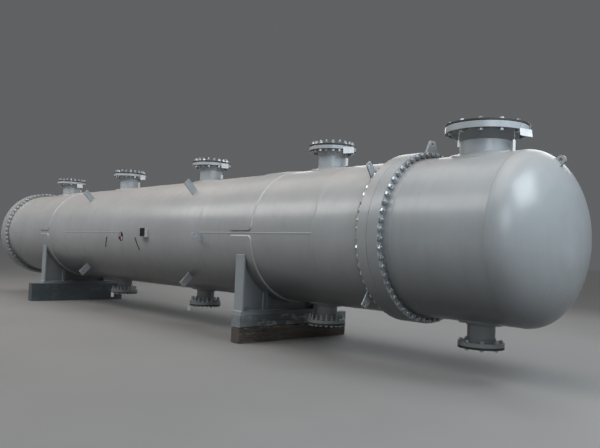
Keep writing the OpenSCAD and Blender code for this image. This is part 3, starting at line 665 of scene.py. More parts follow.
def stud_rings(diameter, length, turn):
    """Round stud with bevelled ends: radius = half the diameter, less the bevel at both ends."""
    r, bevel = diameter / 2, diameter * STUD_BEVEL
    radii = np.array([[r - bevel], [r], [r], [r - bevel]]) * np.ones(AROUND)
    return turned_rings(radii, [0.0, bevel, length - bevel, length], turn)


def bolting(name, centres, axis, bottom, top, stud, nut, tips, seed, thin=1.0):
    """Studs with a nut at each end, from the lower seats to the upper seats along the axis.

    tips gives how far each end stands past its nut, and thin is the upper nut's height over the stud's
    diameter. Every stud is turned and set a little differently.
    """
    random = np.random.default_rng(seed)
    count, height = len(centres), stud * thin
    straight = np.tile(np.asarray(axis, float), (count, 1))
    spread = min(SHIFT * max(tips), MOST_SHIFT)
    shift = random.uniform(-spread, spread, (count, 1))
    leaning = straight + random.normal(0, LEAN, (count, 3))
    turns = random.uniform(0, 6.28, (3, count))
    length = top - bottom + stud + height + sum(tips)
    ends = centres + (bottom - stud - tips[0] + shift) * straight
    studs = place(stud_rings(stud, length, turns[0]), ends, leaning)
    upper = place(nut_rings(nut, height, turns[1]), centres + top * straight, straight)
    lower = place(nut_rings(nut, stud, turns[2]), centres + bottom * straight, -straight)
    piece("studs_" + name, [loft(studs)], "stud")
    piece("nuts_" + name, [loft(upper), loft(lower)], "nut", sharp=20.0)


def nozzle_bolting(cover, flange, edge, holes, stud, nut, tips, seed, every=1, thin=1.0):
    """Studs through a nozzle flange and its cover plate, in every hole or every second one."""
    up = np.sign(middle(cover)[2] - AXIS_Z)
    radius, half = size(cover)[0] / 2 - edge, size(cover)[2] / 2
    a = around(holes, 0.5)[every - 1 :: every]
    ring = middle(cover) + radius * np.stack([np.cos(a), np.sin(a), np.zeros_like(a)], 1)
    bottom = -half - flange - settings("vessel").raised_face
    bolting(cover.replace("_cover", ""), ring, up * UP, bottom, half, stud, nut, tips, seed, thin)


class EXCHANGER_OT_girth_bolting(bpy.types.Operator):
    """Put studs and nuts through both girth joints"""

    bl_idname = "exchanger.girth_bolting"
    bl_label = "Bolt the girth joints"

    def execute(self, context):
        v, b = settings("vessel"), settings("bolting")
        a = around(b.girth_bolts, 0.5)
        ring = (RIM_R - b.girth_edge) * np.stack([np.zeros_like(a), -np.sin(a), np.cos(a)], 1)
        face = size("gasket_front")[0] / 2
        for name, joint, side, seed in (("front", JOINT_FRONT, 1, 3), ("rear", JOINT_REAR, -1, 5)):
            bolting(
                "girth_" + name, ring + (joint, 0, AXIS_Z), side * ALONG, -face - v.shell_flange,
                face + v.channel_flange, b.girth_stud, b.girth_nut, (b.girth_tip, b.girth_tip), seed,
            )
        return {"FINISHED"}


class EXCHANGER_OT_shell_nozzle_bolting(bpy.types.Operator):
    """Put long studs and nuts through the covers of the shell nozzles"""

    bl_idname = "exchanger.shell_nozzle_bolting"
    bl_label = "Bolt the shell nozzles"

    def execute(self, context):
        v, b = settings("vessel"), settings("bolting")
        for i in range(1, 5):
            nozzle_bolting(
                f"top_cover_{i}", v.top_flange, b.top_edge, b.nozzle_holes, b.top_stud, b.top_nut,
                (b.short_tip, b.top_tip), 10 + i,
            )
        for i in range(1, 4):
            nozzle_bolting(
                f"low_cover_{i}", v.low_flange, b.low_edge, b.nozzle_holes, b.low_stud, b.low_nut,
                (b.low_tip, b.flush_tip), 20 + i, thin=b.thin,
            )
        return {"FINISHED"}


class EXCHANGER_OT_channel_nozzle_bolting(bpy.types.Operator):
    """Put a stud in every second hole of the channel nozzles' covers"""

    bl_idname = "exchanger.channel_nozzle_bolting"
    bl_label = "Bolt the channel nozzles"

    def execute(self, context):
        v, b = settings("vessel"), settings("bolting")
        flush = (b.flush_tip, b.flush_tip)
        nozzle_bolting(
            "inlet_cover", v.inlet_flange, b.inlet_edge, b.inlet_holes, b.inlet_stud, b.inlet_nut, flush, 31,
            every=2, thin=b.thin,
        )
        nozzle_bolting(
            "outlet_cover", v.outlet_flange, b.outlet_edge, b.outlet_holes, b.low_stud, b.low_nut, flush, 32,
            every=2, thin=b.thin,
        )
        return {"FINISHED"}


# Welds

WELD_SHARP = 60.0
# Bulge and depth of the root of a fillet weld over its leg
FILLET_BULGE, FILLET_ROOT = 0.14, 0.12
# Distance between the ends of a long seam and the ring seams
SEAM_END = 0.01


def sweep(path, section_a, section_b, along_a, along_b, closed):
    """Section carried along a path: point = path + a·first direction + b·second direction."""
    a, b = (section[None, :, None] for section in (section_a, section_b))
    return loft(path[:, None] + a * along_a[:, None] + b * along_b[:, None], closed)


def bead(path, outward, closed):
    """Butt seam: point = path + w·side + h·outward, where h = rise·cos(half turn across the width)."""
    w = settings("welds")
    t = np.linspace(-1, 1, 7)
    across = np.concatenate([t * w.seam_width / 2, [w.seam_width / 3, -w.seam_width / 3]])
    height = w.seam_rise * np.concatenate([np.cos(t * QUARTER), [-1, -1]])
    ahead = np.roll(path, -1, 0) - np.roll(path, 1, 0) if closed else np.gradient(path, axis=0)
    return sweep(path, across, height, unit(np.cross(outward, ahead)), outward, closed)


def fillet(path, along_a, along_b, leg, closed=False):
    """Fillet weld in a corner: point = path + p·a + q·b, where p + q bulges past the straight line."""
    t = np.linspace(0, 1, 5)
    bulge = FILLET_BULGE * np.sin(t * np.pi)
    p, q = (leg * np.append(side + bulge, -FILLET_ROOT) for side in (1 - t, t))
    along_a, along_b = (np.broadcast_to(along, path.shape) for along in (along_a, along_b))
    return sweep(path, p, q, along_a, along_b, closed)


def on_shell(x, a, radius):
    """Points and outward directions on a cylinder: (x, r·sin a, r·cos a), from the top to the far side."""
    outward = np.stack([np.zeros_like(a), np.sin(a), np.cos(a)], -1)
    points = np.asarray(radius)[..., None] * outward
    points[..., 0] = x
    points[..., 2] += AXIS_Z
    return points, outward


def square_to(path, outward):
    """Directions in a surface, square to a closed path on it: ahead × outward, at unit length."""
    return unit(np.cross(np.roll(path, -1, 0) - np.roll(path, 1, 0), outward))


def seams(name, edges, finish, long=True):
    """Ring seams at the edges of the plates, with long seams between them on either side by turns."""
    parts = [bead(*on_shell(x, around(256), SHELL_R), True) for x in edges]
    for i, ends in enumerate(zip(edges, edges[1:]) if long else ()):
        side = -QUARTER if i % 2 else QUARTER
        x = np.linspace(min(ends) + SEAM_END, max(ends) - SEAM_END, 60)
        parts.append(bead(*on_shell(x, np.full_like(x, side), SHELL_R), False))
    piece("seams_" + name, parts, finish, WELD_SHARP)


class EXCHANGER_OT_butt_seams(bpy.types.Operator):
    """Lay the ring seams and the long seams of the plates"""

    bl_idname = "exchanger.butt_seams"
    bl_label = "Lay the butt seams"

    def execute(self, context):
        v = settings("vessel")
        joints = JOINT_FRONT - v.plate_joint - v.plate_length * np.arange(5)
        seams("shell", [high("shell")[0], *joints, low("shell")[0]], "vessel_weld")
        seams("channel", [low("channel_barrel")[0], high("channel_barrel")[0]], "channel_weld")
        seams("bonnet", [low("bonnet_barrel")[0], high("bonnet_barrel")[0]], "vessel_weld", long=False)
        return {"FINISHED"}


def ring_on_shell(x, up, ring, radius):
    """Closed path where an upright cylinder meets the shell: (x + ring·cos a, ring·sin a, height there)."""
    a = around(120)
    across = ring * np.sin(a)
    rise = up * np.sqrt(radius**2 - across**2)
    path = np.stack([x + ring * np.cos(a), across, AXIS_Z + rise], 1)
    outward = np.stack([np.zeros_like(a), across, rise], 1) / radius
    away = square_to(path, outward)
    away *= np.sign(((path - (x, 0, 0)) * away)[:, :2].sum(1))[:, None]
    return path, away, outward


def neck_welds(node, neck):
    """Fillet welds between a neck and its pad, and between the pad and the shell."""
    x, up = middle(node)[0], np.sign(middle(node)[2] - AXIS_Z)
    leg = settings("welds").pad_leg
    path, away, _ = ring_on_shell(x, up, neck, WRAPPER_R)
    edge, off, outward = ring_on_shell(x, up, neck + settings("vessel").pad_ring, SHELL_R)
    return [fillet(path, away, up * UP, leg, True), fillet(edge, off, outward, leg, True)]


class EXCHANGER_OT_nozzle_welds(bpy.types.Operator):
    """Weld the necks to their pads and the pads to the vessel"""

    bl_idname = "exchanger.nozzle_welds"
    bl_label = "Weld the nozzles"

    def execute(self, context):
        v = settings("vessel")
        shell = [(f"top_nozzle_{i}", v.top_neck) for i in range(1, 5)]
        shell += [(f"low_nozzle_{i}", v.low_neck) for i in range(1, 4)]
        channel = [("inlet_nozzle", v.inlet_neck), ("outlet_nozzle", v.outlet_neck)]
        for name, nozzles, finish in (("shell", shell, "vessel_weld"), ("channel", channel, "channel_weld")):
            parts = [weld for nozzle in nozzles for weld in neck_welds(*nozzle)]
            piece(f"welds_{name}_nozzles", parts, finish, WELD_SHARP)
        return {"FINISHED"}


def wrapper_weld(node, under):
    """Fillet weld round one wrapper plate, along a rounded rectangle that is rolled round the shell."""
    v = settings("vessel")
    reach = (QUARTER - math.asin(v.wrapper_gap / 2 / SHELL_R)) * SHELL_R
    loop = rounded(low(node)[0], high(node)[0], -reach, reach, v.wrapper_corner, 7)
    loop = np.vstack([loop, loop[:1]])
    along = np.insert(np.cumsum(np.hypot(*np.diff(loop, axis=0).T)), 0, 0)
    fine = np.union1d(along[:-1], np.linspace(0, along[-1], 220, endpoint=False))
    fine = fine[np.diff(fine, prepend=-1) > 1e-6]
    x, arc = (np.interp(fine, along, part) for part in loop.T)
    path, outward = on_shell(x, arc / SHELL_R + (np.pi if under else 0.0), SHELL_R)
    return fillet(path, square_to(path, outward), outward, settings("welds").pad_leg, True)


def under_arc(x, y):
    """Path under the wrapper plates, across the vessel or along it, with the direction off them."""
    x, y = np.broadcast_arrays(np.asarray(x, float), np.asarray(y, float))
    depth = np.sqrt(WRAPPER_R**2 - y**2)
    return np.stack([x, y, AXIS_Z - depth], 1), np.stack([np.zeros_like(y), y, -depth], 1) / WRAPPER_R


def saddle_welds(end):
    """Fillet welds of a saddle: web and ribs to the wrapper and the base, ribs to the web."""
    v, leg = settings("vessel"), settings("welds").plate_leg
    web = "saddle_web_" + end
    x, half = middle(web)[0], size("saddle_base_" + end)[0] / 2
    rib_in, seat, top = high(web)[1], low(web)[2], high("saddle_ribs_" + end)[2]
    mid_in, mid_out = v.middle_rib - v.rib / 2, v.middle_rib + v.rib / 2
    bays = ((-rib_in, -mid_out), (-mid_in, mid_in), (mid_out, rib_in))
    sides = [(y, 1) for y, _ in bays] + [(y, -1) for _, y in bays]
    parts = []
    for s in (-1, 1):
        face = x + s * v.web / 2
        for y0, y1 in bays:
            path, outward = under_arc(face, np.linspace(y0, y1, 40))
            parts.append(fillet(path, s * ALONG, outward, leg))
            foot = np.linspace((face, y0, seat), (face, y1, seat), 8)
            parts.append(fillet(foot, s * ALONG, UP, leg))
        ends = sorted((face, x + s * half))
        for y, facing in sides:
            off = facing * ACROSS
            path, outward = under_arc(np.linspace(*ends, 8), y)
            tangent = np.cross(ALONG, outward[0])
            parts.append(fillet(path, tangent * np.sign(tangent @ off), -UP, leg))
            foot = np.linspace((ends[0], y, seat), (ends[1], y, seat), 8)
            parts.append(fillet(foot, off, UP, leg))
            corner = np.linspace((face, y, seat), (face, y, path[0, 2]), 12)
            parts.append(fillet(corner, s * ALONG, off, leg))
    land = np.sqrt(WRAPPER_R**2 - (top - AXIS_Z) ** 2)
    for s in (-1, 1):
        off, y = s * ACROSS, s * (rib_in + v.rib)
        foot = np.linspace((x - half, y, seat), (x + half, y, seat), 12)
        parts.append(fillet(foot, off, UP, leg))
        crest = np.linspace((x - half, s * land, top), (x + half, s * land, top), 12)
        rise = np.cross(ALONG, np.array([0.0, s * land, top - AXIS_Z]) / WRAPPER_R)
        parts.append(fillet(crest, rise * np.sign(rise[2]), off, leg))
    return parts


class EXCHANGER_OT_saddle_welds(bpy.types.Operator):
    """Weld the wrapper plates, the saddle webs, their ribs and the base plates"""

    bl_idname = "exchanger.saddle_welds"
    bl_label = "Weld the saddles"

    def execute(self, context):
        # The wrapper welds take the lighter greys, painted highlights along them
        for end, finish in (("front", "touched_weld"), ("rear", "rear_weld")):
            wrapper = "wrapper_" + end
            parts = [wrapper_weld(wrapper, under) for under in (False, True)]
            piece("welds_" + wrapper, parts, finish, WELD_SHARP)
            piece("welds_saddle_" + end, saddle_welds(end), "saddle_weld", WELD_SHARP)
        return {"FINISHED"}


# Lugs by the joint: degrees over and under the middle line, width
JOINT_LUGS = (49.0, 0.140)
# Lugs further along: distance behind the joint, degrees over and under the middle line, width
CLEAR_LUGS = ((4.25, 45.0, 0.125), (8.25, 45.0, 0.125))


def lug_welds(x, t, at, width, radius, leg):
    """Fillet welds along both faces of a cross plate that stands on the vessel at an angle from the top."""
    half = math.asin(width / 2 / radius)
    a = np.linspace(at - half, at + half, 14)
    parts = []
    for s in (-1, 1):
        path, outward = on_shell(x + s * t / 2, a, radius)
        parts.append(fillet(path, s * ALONG, outward, leg))
    return parts


def head_eye_welds(at, width, t, leg):
    """Fillet welds along both faces of the eye on the head, on the arc (depth·sin u, r·cos u) of the head."""
    start, depth = high("channel_barrel")[0], high("channel_head")[0] - high("channel_barrel")[0]
    turn = math.asin(at / depth)
    half = width / 2 / math.hypot(depth * math.cos(turn), SHELL_R * math.sin(turn))
    u = turn + np.linspace(-half, half, 12)
    flat = np.zeros_like(u)
    outward = unit(np.stack([np.sin(u) / depth, flat, np.cos(u) / SHELL_R], 1))
    parts = []
    for s in (-1, 1):
        path = np.stack([start + depth * np.sin(u), flat + s * t / 2, AXIS_Z + SHELL_R * np.cos(u)], 1)
        parts.append(fillet(path, s * ACROSS, outward, leg))
    return parts


class EXCHANGER_OT_lug_welds(bpy.types.Operator):
    """Weld the lugs, the lifting eyes and the plates at the side"""

    bl_idname = "exchanger.lug_welds"
    bl_label = "Weld the lugs"

    def execute(self, context):
        v, w = settings("vessel"), settings("welds")
        lugs = [(high("shell_lugs")[0] - v.lug / 2, *JOINT_LUGS)]
        lugs += [(JOINT_FRONT - behind, over, width) for behind, over, width in CLEAR_LUGS]
        parts = []
        for x, over, width in lugs:
            for at in (90 - over, 90 + over, over - 90, -90 - over):
                parts += lug_welds(x, v.lug, math.radians(at), width, SHELL_R, w.plate_leg)
        height = size("side_plate")[2]
        at = -QUARTER - math.asin(height / 2)
        parts += lug_welds(middle("side_plate")[0], v.side_plate, at, height, SHELL_R, w.plate_leg)
        lo, hi = low("nameplate_bracket"), high("nameplate_bracket")
        for x in (lo[0] + v.bracket / 2, hi[0] - v.bracket / 2):
            parts += lug_welds(x, v.bracket, -QUARTER, hi[2] - lo[2], SHELL_R, w.plate_leg)
        piece("welds_lugs", parts, "vessel_weld", WELD_SHARP)
        parts = lug_welds(middle("joint_lifting_eye")[0], v.eye, 0.0, v.joint_eye_width, RIM_R, w.pad_leg)
        piece("welds_joint_eye", parts, "channel_weld", WELD_SHARP)
        parts = head_eye_welds(v.head_eye_at, v.head_eye_width, v.eye, w.pad_leg)
        piece("welds_head_eye", parts, "channel_weld", WELD_SHARP)
        return {"FINISHED"}


# Tags, plates and marks

CARD_T, WIRE_R = 0.0016, 0.0016
# How far a card stands off the rim, the curl of its lower edge and the height of its waves
CARD_OFF, CARD_CURL, CARD_WAVE = 0.004, 0.009, 0.003
# Distance of a wire's end from the upper edge, and its way in over the rim and up to the hole
TIE_DROP, TIE_IN, TIE_UP = 0.008, 0.045, 0.016
# Sag of the wires over the rim and of the hanging ones
RIM_SAG, WIRE_SAG = 0.002, 0.006
# Where the hanging wires end: under the flanges on top, and over those below
TIE_ABOVE, TIE_BELOW = 0.02, 0.03
# Cards on the nozzle rims: nozzle, angle of the plane, its left and right ends along the plane,
# heights of the upper corners over the vessel's axis, and the card's height
CARDS = (
    ("top_nozzle_1", -5.4, -0.104, 0.104, 1.289, 1.324, 0.092),
    ("top_nozzle_2", 7.6, -0.087, 0.087, 1.309, 1.325, 0.088),
    ("top_nozzle_3", 20.4, -0.080, 0.080, 1.297, 1.320, 0.098),
    ("top_nozzle_4", 10.0, -0.079, 0.079, 1.272, 1.282, 0.098),
    ("inlet_nozzle", -20.0, 0.068, 0.248, 1.253, 1.250, 0.085),
)
# Strips on a wire: nozzle, angle and distance from its axis, half width, upper and lower edge
STRIPS = (
    ("top_nozzle_1", -0.4, 0.302, 0.018, 1.147, 1.036),
    ("top_nozzle_2", 6.0, 0.302, 0.018, 1.107, 1.036),
    ("top_nozzle_3", 13.0, 0.302, 0.018, 1.143, 1.027),
    ("top_nozzle_4", 26.0, 0.302, 0.018, 1.130, 1.066),
    ("inlet_nozzle", -15.2, 0.440, 0.015, 1.122, 0.993),
    ("inlet_nozzle", -103.9, 0.440, 0.011, 1.121, 1.044),
    ("low_nozzle_3", 12.8, 0.245, 0.015, -1.092, -1.178),
    ("low_nozzle_2", -123.0, 0.292, 0.028, -1.303, -1.396),
    ("low_nozzle_3", -85.0, 0.292, 0.030, -1.277, -1.374),
)
# Angle that all strips face
STRIPS_FACE = -42.0


def sheet_rings(points, normal, t):
    """Thin closed sheet from a grid [column, row, xyz]: each column is a loop down its front, up its back."""
    return np.concatenate([points + normal * t / 2, (points - normal * t / 2)[:, ::-1]], 1)


def towards(degrees):
    """Level directions: out at an angle from +X, and along the plane that faces there."""
    a = math.radians(degrees)
    return np.array([math.cos(a), math.sin(a), 0.0]), np.array([-math.sin(a), math.cos(a), 0.0])


def wire(points):
    """Thin wire through points: a smooth path with a round section carried along it."""
    points = np.asarray(points, float)
    t = np.linspace(0, len(points) - 1, 14)
    path = np.stack([np.interp(t, np.arange(len(points)), part) for part in points.T], 1)
    ahead = unit(np.gradient(path, axis=0))
    side = unit(np.cross(ahead, (0.31, 0.72, 0.62)))
    a = around(6)
    return sweep(path, WIRE_R * np.cos(a), WIRE_R * np.sin(a), side, np.cross(ahead, side), False)


def rim_card(node, degrees, left, right, upper_left, upper_right, height):
    """Stiff card in a plane that touches a nozzle's rim at an angle, and its two wires over the rim.

    It stands off by out = off + curl·(1 - cos(quarter turn down the card)) + wave·sin(5u + 2v).
    """
    x, radius = middle(node)[0], size(node)[0] / 2
    normal, along = towards(degrees)
    u, v = np.meshgrid(np.linspace(0, 1, 9), np.linspace(0, 1, 6), indexing="ij")
    out = radius + CARD_OFF + CARD_CURL * (1 - np.cos(v * QUARTER)) + CARD_WAVE * np.sin(5 * u + 2 * v)
    across = left + (right - left) * u
    grid = np.array([x, 0.0, AXIS_Z]) + out[..., None] * normal + across[..., None] * along
    grid[..., 2] += upper_left + (upper_right - upper_left) * u - height * v
    wires = []
    for corner in (grid[1, 0], grid[-2, 0]):
        inward = unit((x, 0.0, 0.0) - corner * (1, 1, 0))
        start = corner - TIE_DROP * UP
        lip = np.array([corner[0], corner[1], high(node)[2] - RIM_SAG])
        hole = lip + inward * TIE_IN + TIE_UP * UP
        wires.append(wire([start, (start + lip) / 2 - inward * RIM_SAG, lip, hole]))
    return loft(sheet_rings(grid, normal, CARD_T)), wires


def strip(node, degrees, radius, half, upper, lower):
    """Narrow strip that hangs beside a nozzle, and its wire: out = off·sin(3·height / length + 20·width)."""
    v = settings("vessel")
    normal, along = towards(STRIPS_FACE)
    at = np.array([middle(node)[0], 0.0, AXIS_Z]) + radius * towards(degrees)[0]
    u, z = np.meshgrid(np.linspace(-half, half, 4), np.linspace(upper, lower, 6), indexing="ij")
    sway = CARD_OFF * np.sin((z - lower) / (upper - lower) * 3.0 + 20 * u)
    grid = at + u[..., None] * along + sway[..., None] * normal
    grid[..., 2] += z
    above = high(node)[2] - v.raised_face - v.top_flange - TIE_ABOVE
    tie = above if upper > 0 else low(node)[2] + v.low_flange + TIE_BELOW
    top, end = at + (upper - TIE_DROP) * UP, np.array([at[0], at[1], tie])
    return loft(sheet_rings(grid, normal, CARD_T)), [wire([top, (top + end) / 2 + along * WIRE_SAG, end])]


class EXCHANGER_OT_tags(bpy.types.Operator):
    """Hang the blank tags and strips on the nozzles"""

    bl_idname = "exchanger.tags"
    bl_label = "Hang the tags"

    def execute(self, context):
        hung = [rim_card(*row) for row in CARDS] + [strip(*row) for row in STRIPS]
        piece("tags_blank", [sheet for sheet, _ in hung], "card", sharp=50.0)
        piece("tag_wires", [part for _, wires in hung for part in wires], "nut")
        return {"FINISHED"}


PLATE_INSET, PLATE_T, PLATE_CORNER, RIVET_INSET = 0.010, 0.0025, 0.008, 0.012
# Sections of the plate: share of its full size, and height over the bracket
PLATE_SECTIONS = ((1.0, -0.0002), (1.0, PLATE_T * 0.7), (0.992, PLATE_T))
# Dome of a rivet: radii, and their heights over the plate
RIVET_R, RIVET_Z = (0.004, 0.0036, 0.0022), (-0.0005, 0.0012, 0.0022)


class EXCHANGER_OT_nameplate(bpy.types.Operator):
    """Rivet the blank plate to its bracket"""

    bl_idname = "exchanger.nameplate"
    bl_label = "Fix the blank plate"

    def execute(self, context):
        y = low("nameplate_bracket")[1]
        x0, _, z0 = low("nameplate_bracket") + PLATE_INSET
        x1, _, z1 = high("nameplate_bracket") - PLATE_INSET
        loop = rounded(x0, x1, z0, z1, PLATE_CORNER, 5)
        centre = np.array([(x0 + x1) / 2, (z0 + z1) / 2])
        rings = []
        for share, rise in PLATE_SECTIONS:
            rings.append(np.insert(centre + (loop - centre) * share, 1, y - rise, axis=1))
        piece("nameplate_blank", [loft(rings)], "plate", sharp=30.0)
        rivets_x, rivets_z = (x0 + RIVET_INSET, x1 - RIVET_INSET), (z0 + RIVET_INSET, z1 - RIVET_INSET)
        heads = np.array([[x, y - PLATE_T, z] for x in rivets_x for z in rivets_z])
        dome = turned_rings(np.array(RIVET_R)[:, None] * np.ones(AROUND), RIVET_Z, np.zeros(4))
        piece("nameplate_rivets", [loft(place(dome, heads, np.tile(-ACROSS, (4, 1))))], "nut")
        return {"FINISHED"}


# Balance mark: place from the front joint, arc below the middle line, radius of the white and of the rim
DISC_AT, DISC_DOWN, DISC_R, DISC_RIM = -6.29, 0.080, 0.074, 0.090
# Sling marks: place and arc of the upper end, then of the lower end
STROKES = ((-6.875, 0.090, -6.985, 0.300), (-5.735, 0.095, -5.625, 0.330))
STROKE_W, PAINT_RISE, PAINT_T = 0.042, 0.0010, 0.0006
# Clear middle of the balance mark, and gap between its white quarters and their red rim
DISC_EYE, RIM_GAP = 0.002, 0.0005


def painted_patch(x, arc):
    """Thin patch of paint on the near side, from a grid of stations and arc lengths below the middle.

    It lies a hair over the shell and the third ring seam: rise = hair + seam height·cos(half turn across it).
    """
    v, w = settings("vessel"), settings("welds")
    seam = JOINT_FRONT - v.plate_joint - 2 * v.plate_length
    over = np.cos(np.clip((x - seam) / w.seam_width, -0.5, 0.5) * np.pi) * w.seam_rise
    points, outward = on_shell(x, -QUARTER - arc / SHELL_R, SHELL_R + PAINT_RISE + over)
    return loft(sheet_rings(points, outward, PAINT_T))


def sectors(inner, outer, first):
    """Two opposite quarters of the balance mark: radius from inner to outer, angle over a quarter turn."""
    parts = []
    steps = max(4, int((outer - inner) / 0.003))
    for start in (first, first + np.pi):
        turns = np.linspace(start, start + QUARTER, 15)
        a, r = np.meshgrid(turns, np.linspace(inner, outer, steps), indexing="ij")
        parts.append(painted_patch(JOINT_FRONT + DISC_AT + r * np.cos(a), DISC_DOWN - r * np.sin(a)))
    return parts


def stroke(x0, arc0, x1, arc1):
    """Straight stroke of a brush: line from one end to the other, with a constant width along the vessel."""
    u = np.linspace(0, 1, 8)[:, None]
    wide = np.array([-0.5, 0.5]) * STROKE_W
    return painted_patch(JOINT_FRONT + x0 + (x1 - x0) * u + wide, arc0 + (arc1 - arc0) * u + 0 * wide)


class EXCHANGER_OT_marks(bpy.types.Operator):
    """Paint the quartered balance mark and the two sling marks"""

    bl_idname = "exchanger.marks"
    bl_label = "Paint the marks"

    def execute(self, context):
        piece("marks_dark", sectors(DISC_EYE, DISC_RIM, 0.0), "mark_dark")
        piece("marks_white", sectors(DISC_EYE, DISC_R, QUARTER), "mark_white")
        rim = sectors(DISC_R + RIM_GAP, DISC_RIM, QUARTER)
        piece("marks_red", rim + [stroke(*line) for line in STROKES], "mark_red")
        return {"FINISHED"}


# Timber

# Points round the baulk and stations along it
BAULK_POINTS, BAULK_STATIONS = 112, 240
# Wood lost everywhere, at the corners, to the saw marks, to the bow and at the ends; the least and the most
LOSS, CORNER_LOSS, SAW_LOSS, BOW_LOSS, END_LOSS = 0.004, 0.006, 0.0012, 0.0025, 0.004
LEAST_LOSS, MOST_LOSS = 0.0008, 0.07
# Depth of the chips at the corners, how few they are, and where on the half width a corner starts
CHIP, FEW, CORNER_FROM = 0.022, 0.35, 0.72
# Length over which the ends are worn
END_LENGTH = 0.012
# Waves of the saw marks, of the bow and of the chips: how many, and the span of their frequencies
SAW_WAVES, BOW_WAVES, CHIP_WAVES = (10, (20, 90)), (6, (1, 6)), (9, (3, 24))


def ripples(u, v, random, waves, span):
    """Sum of sine waves of random direction and phase over u and v, between about -1 and 1."""
    total = np.zeros(np.broadcast(u, v).shape)
    for _ in range(waves):
        fu, fv = random.uniform(*span, 2) * random.choice([-1, 1], 2)
        total += np.sin(fu * u + fv * v + random.uniform(0, 6.28)) / waves**0.5
    return total


class EXCHANGER_OT_timbers(bpy.types.Operator):
    """Saw the rough baulk under the front saddle"""

    bl_idname = "exchanger.timbers"
    bl_label = "Saw the baulk"

    def execute(self, context):
        node = "baulk_front"
        (cx, _, cz), (half_x, _, half_z) = middle(node), size(node) / 2
        random = np.random.default_rng(41)
        a = np.linspace(0, TURN, BAULK_POINTS, endpoint=False)
        square = np.maximum(np.abs(np.cos(a)), np.abs(np.sin(a)))
        px, pz = np.cos(a) / square, np.sin(a) / square
        y = np.linspace(low(node)[1], high(node)[1], BAULK_STATIONS)[:, None]
        inner = np.minimum(np.abs(px), np.abs(pz))
        corner = np.clip((inner - CORNER_FROM) / (1 - CORNER_FROM), 0, 1) ** 2
        saw = SAW_LOSS * ripples(y, a * 2, random, *SAW_WAVES)
        bow = BOW_LOSS * ripples(y, a, random, *BOW_WAVES)
        chips = CHIP * np.clip(ripples(y, a * 2, random, *CHIP_WAVES) - FEW, 0, 2)
        more_on_top = 0.6 + 0.9 * (pz > 0)
        loss = LOSS + saw + bow + corner * (CORNER_LOSS + chips * more_on_top)
        loss = np.clip(loss, LEAST_LOSS, MOST_LOSS)
        under = pz < -0.999
        loss[:, under] = np.minimum(loss[:, under], LOSS)
        ends = np.clip(1 - np.minimum(y - y[0], y[-1] - y) / END_LENGTH, 0, 1)
        shrink = 1 - (loss + END_LOSS * ends) / min(half_x, half_z)
        points = np.stack([cx + half_x * px * shrink, y + 0 * shrink, cz + half_z * pz * shrink], -1)
        obj = piece("baulk_front_sawn", [loft(points)], "timber", sharp=45.0)
        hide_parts("baulk_front")
        return {"FINISHED"}


# Stage

FLOOR_REACH, FLOOR_Z = 150.0, -0.001
# Width of the camera's sensor in millimetres, and how far it sees
SENSOR, CLIP_END = 36.0, 500.0
SKY_COLOUR = (0.86, 0.89, 0.93)
# Area lights: name, place, point aimed at, length and width, colour
LIGHTS = (
    ("overhead", (-1.0, 0.5, 9.0), (-1.0, 0.2, 0.0), (18.0, 4.0), (1.0, 0.97, 0.94)),
    ("near_side", (-5.0, -7.0, 8.4), (-5.0, 0.0, 1.8), (16.0, 3.5), (1.0, 0.985, 0.97)),
    ("far_side", (-1.0, 9.5, 7.0), (-1.0, 0.0, 1.6), (15.0, 3.5), (0.93, 0.97, 1.0)),
    ("channel_end", (12.6, -0.5, 7.0), (6.8, 0.0, 1.9), (4.5, 4.5), (0.84, 0.93, 1.0)),
    ("channel_corner", (13.0, -6.5, 5.0), (7.0, 0.0, 1.8), (4.0, 4.0), (0.86, 0.94, 1.0)),
)


def staged(name, data, matrix):
    """Object of the stage with its place and turn."""
    obj = bpy.data.objects.new(name, data)
    bpy.context.scene.collection.objects.link(obj)
    obj.matrix_world = matrix
    return obj


def area_light(name, at, aim, sides, colour, power):
    """Rectangular light at a place, aimed at a point, that the camera doesn't see."""
    light = bpy.data.lights.new(name, "AREA")
    light.shape = "RECTANGLE"
    light.size, light.size_y = sides
    light.energy = power
    light.color = colour
    back = unit(np.subtract(at, aim))
    side = unit(np.cross(ACROSS, back))
    turn = Matrix(np.stack([side, np.cross(back, side), back], 1).tolist()).to_4x4()
    staged(name, light, Matrix.Translation(at) @ turn).visible_camera = False


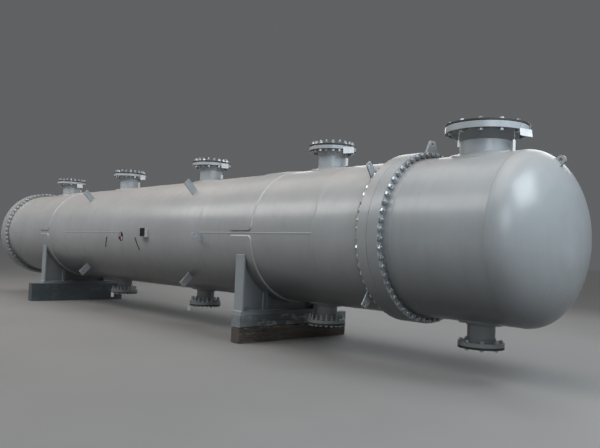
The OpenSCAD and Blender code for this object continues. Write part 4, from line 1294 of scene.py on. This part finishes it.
class EXCHANGER_OT_stage(bpy.types.Operator):
    """Set up the floor, the lights and the camera"""

    bl_idname = "exchanger.stage"
    bl_label = "Set the stage"

    def execute(self, context):
        s = settings("stage")
        reach = FLOOR_REACH
        corners = [(-reach, -reach), (reach, -reach), (reach, reach), (-reach, reach)]
        mesh = bpy.data.meshes.new("floor")
        mesh.from_pydata([(x, y, FLOOR_Z) for x, y in corners], [], [(0, 1, 2, 3)])
        mesh.materials.append(stage_floor("floor_pale", settings("colours").floor))
        floor = staged("floor", mesh, Matrix.Identity(4))
        world = bpy.data.worlds.new("studio")
        world.use_nodes = True
        sky = world.node_tree.nodes["Background"].inputs
        sky["Color"].default_value = rgba(SKY_COLOUR)
        sky["Strength"].default_value = s.sky
        context.scene.world = world
        sun = bpy.data.lights.new("skylight", "SUN")
        sun.energy = s.skylight
        sun.angle = s.skylight_spread
        staged("skylight", sun, Matrix.Rotation(s.skylight_lean, 4, "X"))
        for name, *light in LIGHTS:
            area_light(name, *light, getattr(s, name))
        lens = bpy.data.cameras.new("camera")
        lens.lens = s.lens
        lens.sensor_width = SENSOR
        lens.clip_end = CLIP_END
        turn = Matrix.Rotation(QUARTER - s.heading, 4, "Z") @ Matrix.Rotation(QUARTER + s.pitch, 4, "X")
        turn = turn @ Matrix.Rotation(s.roll, 4, "Z")
        context.scene.camera = staged("camera", lens, Matrix.Translation(s.camera_at) @ turn)
        context.scene.view_settings.view_transform = "Standard"
        return {"FINISHED"}


OPERATORS = (
    EXCHANGER_OT_finishes,
    EXCHANGER_OT_girth_bolting,
    EXCHANGER_OT_shell_nozzle_bolting,
    EXCHANGER_OT_channel_nozzle_bolting,
    EXCHANGER_OT_butt_seams,
    EXCHANGER_OT_nozzle_welds,
    EXCHANGER_OT_saddle_welds,
    EXCHANGER_OT_lug_welds,
    EXCHANGER_OT_tags,
    EXCHANGER_OT_nameplate,
    EXCHANGER_OT_marks,
    EXCHANGER_OT_timbers,
    EXCHANGER_OT_stage,
)
SETTINGS = (
    ("exchanger_vessel", VesselSizes),
    ("exchanger_bolting", BoltingSizes),
    ("exchanger_welds", WeldSizes),
    ("exchanger_colours", FinishColours),
    ("exchanger_stage", StageSettings),
)


class EXCHANGER_PT_panel(bpy.types.Panel):
    """Steps and settings of the heat exchanger"""

    bl_idname = "EXCHANGER_PT_panel"
    bl_label = "Heat exchanger"
    bl_space_type = "VIEW_3D"
    bl_region_type = "UI"
    bl_category = "Exchanger"

    def draw(self, context):
        for operator in OPERATORS:
            self.layout.operator(operator.bl_idname)
        for name, group in SETTINGS:
            box = self.layout.box()
            for key in group.__annotations__:
                box.prop(getattr(context.scene, name), key)


def register():
    """Registers the settings, the steps and the panel."""
    for name, group in SETTINGS:
        bpy.utils.register_class(group)
        setattr(bpy.types.Scene, name, PointerProperty(type=group))
    for operator in OPERATORS:
        bpy.utils.register_class(operator)
    bpy.utils.register_class(EXCHANGER_PT_panel)


def unregister():
    """Takes the panel, the steps and the settings off again."""
    bpy.utils.unregister_class(EXCHANGER_PT_panel)
    for operator in reversed(OPERATORS):
        bpy.utils.unregister_class(operator)
    for name, group in reversed(SETTINGS):
        delattr(bpy.types.Scene, name)
        bpy.utils.unregister_class(group)


def main():
    """Takes every step in order."""
    register()
    for operator in OPERATORS:
        group, name = operator.bl_idname.split(".")
        if getattr(getattr(bpy.ops, group), name)() != {"FINISHED"}:
            raise RuntimeError(operator.bl_idname + " did not finish")


if __name__ == "__main__":
    main()
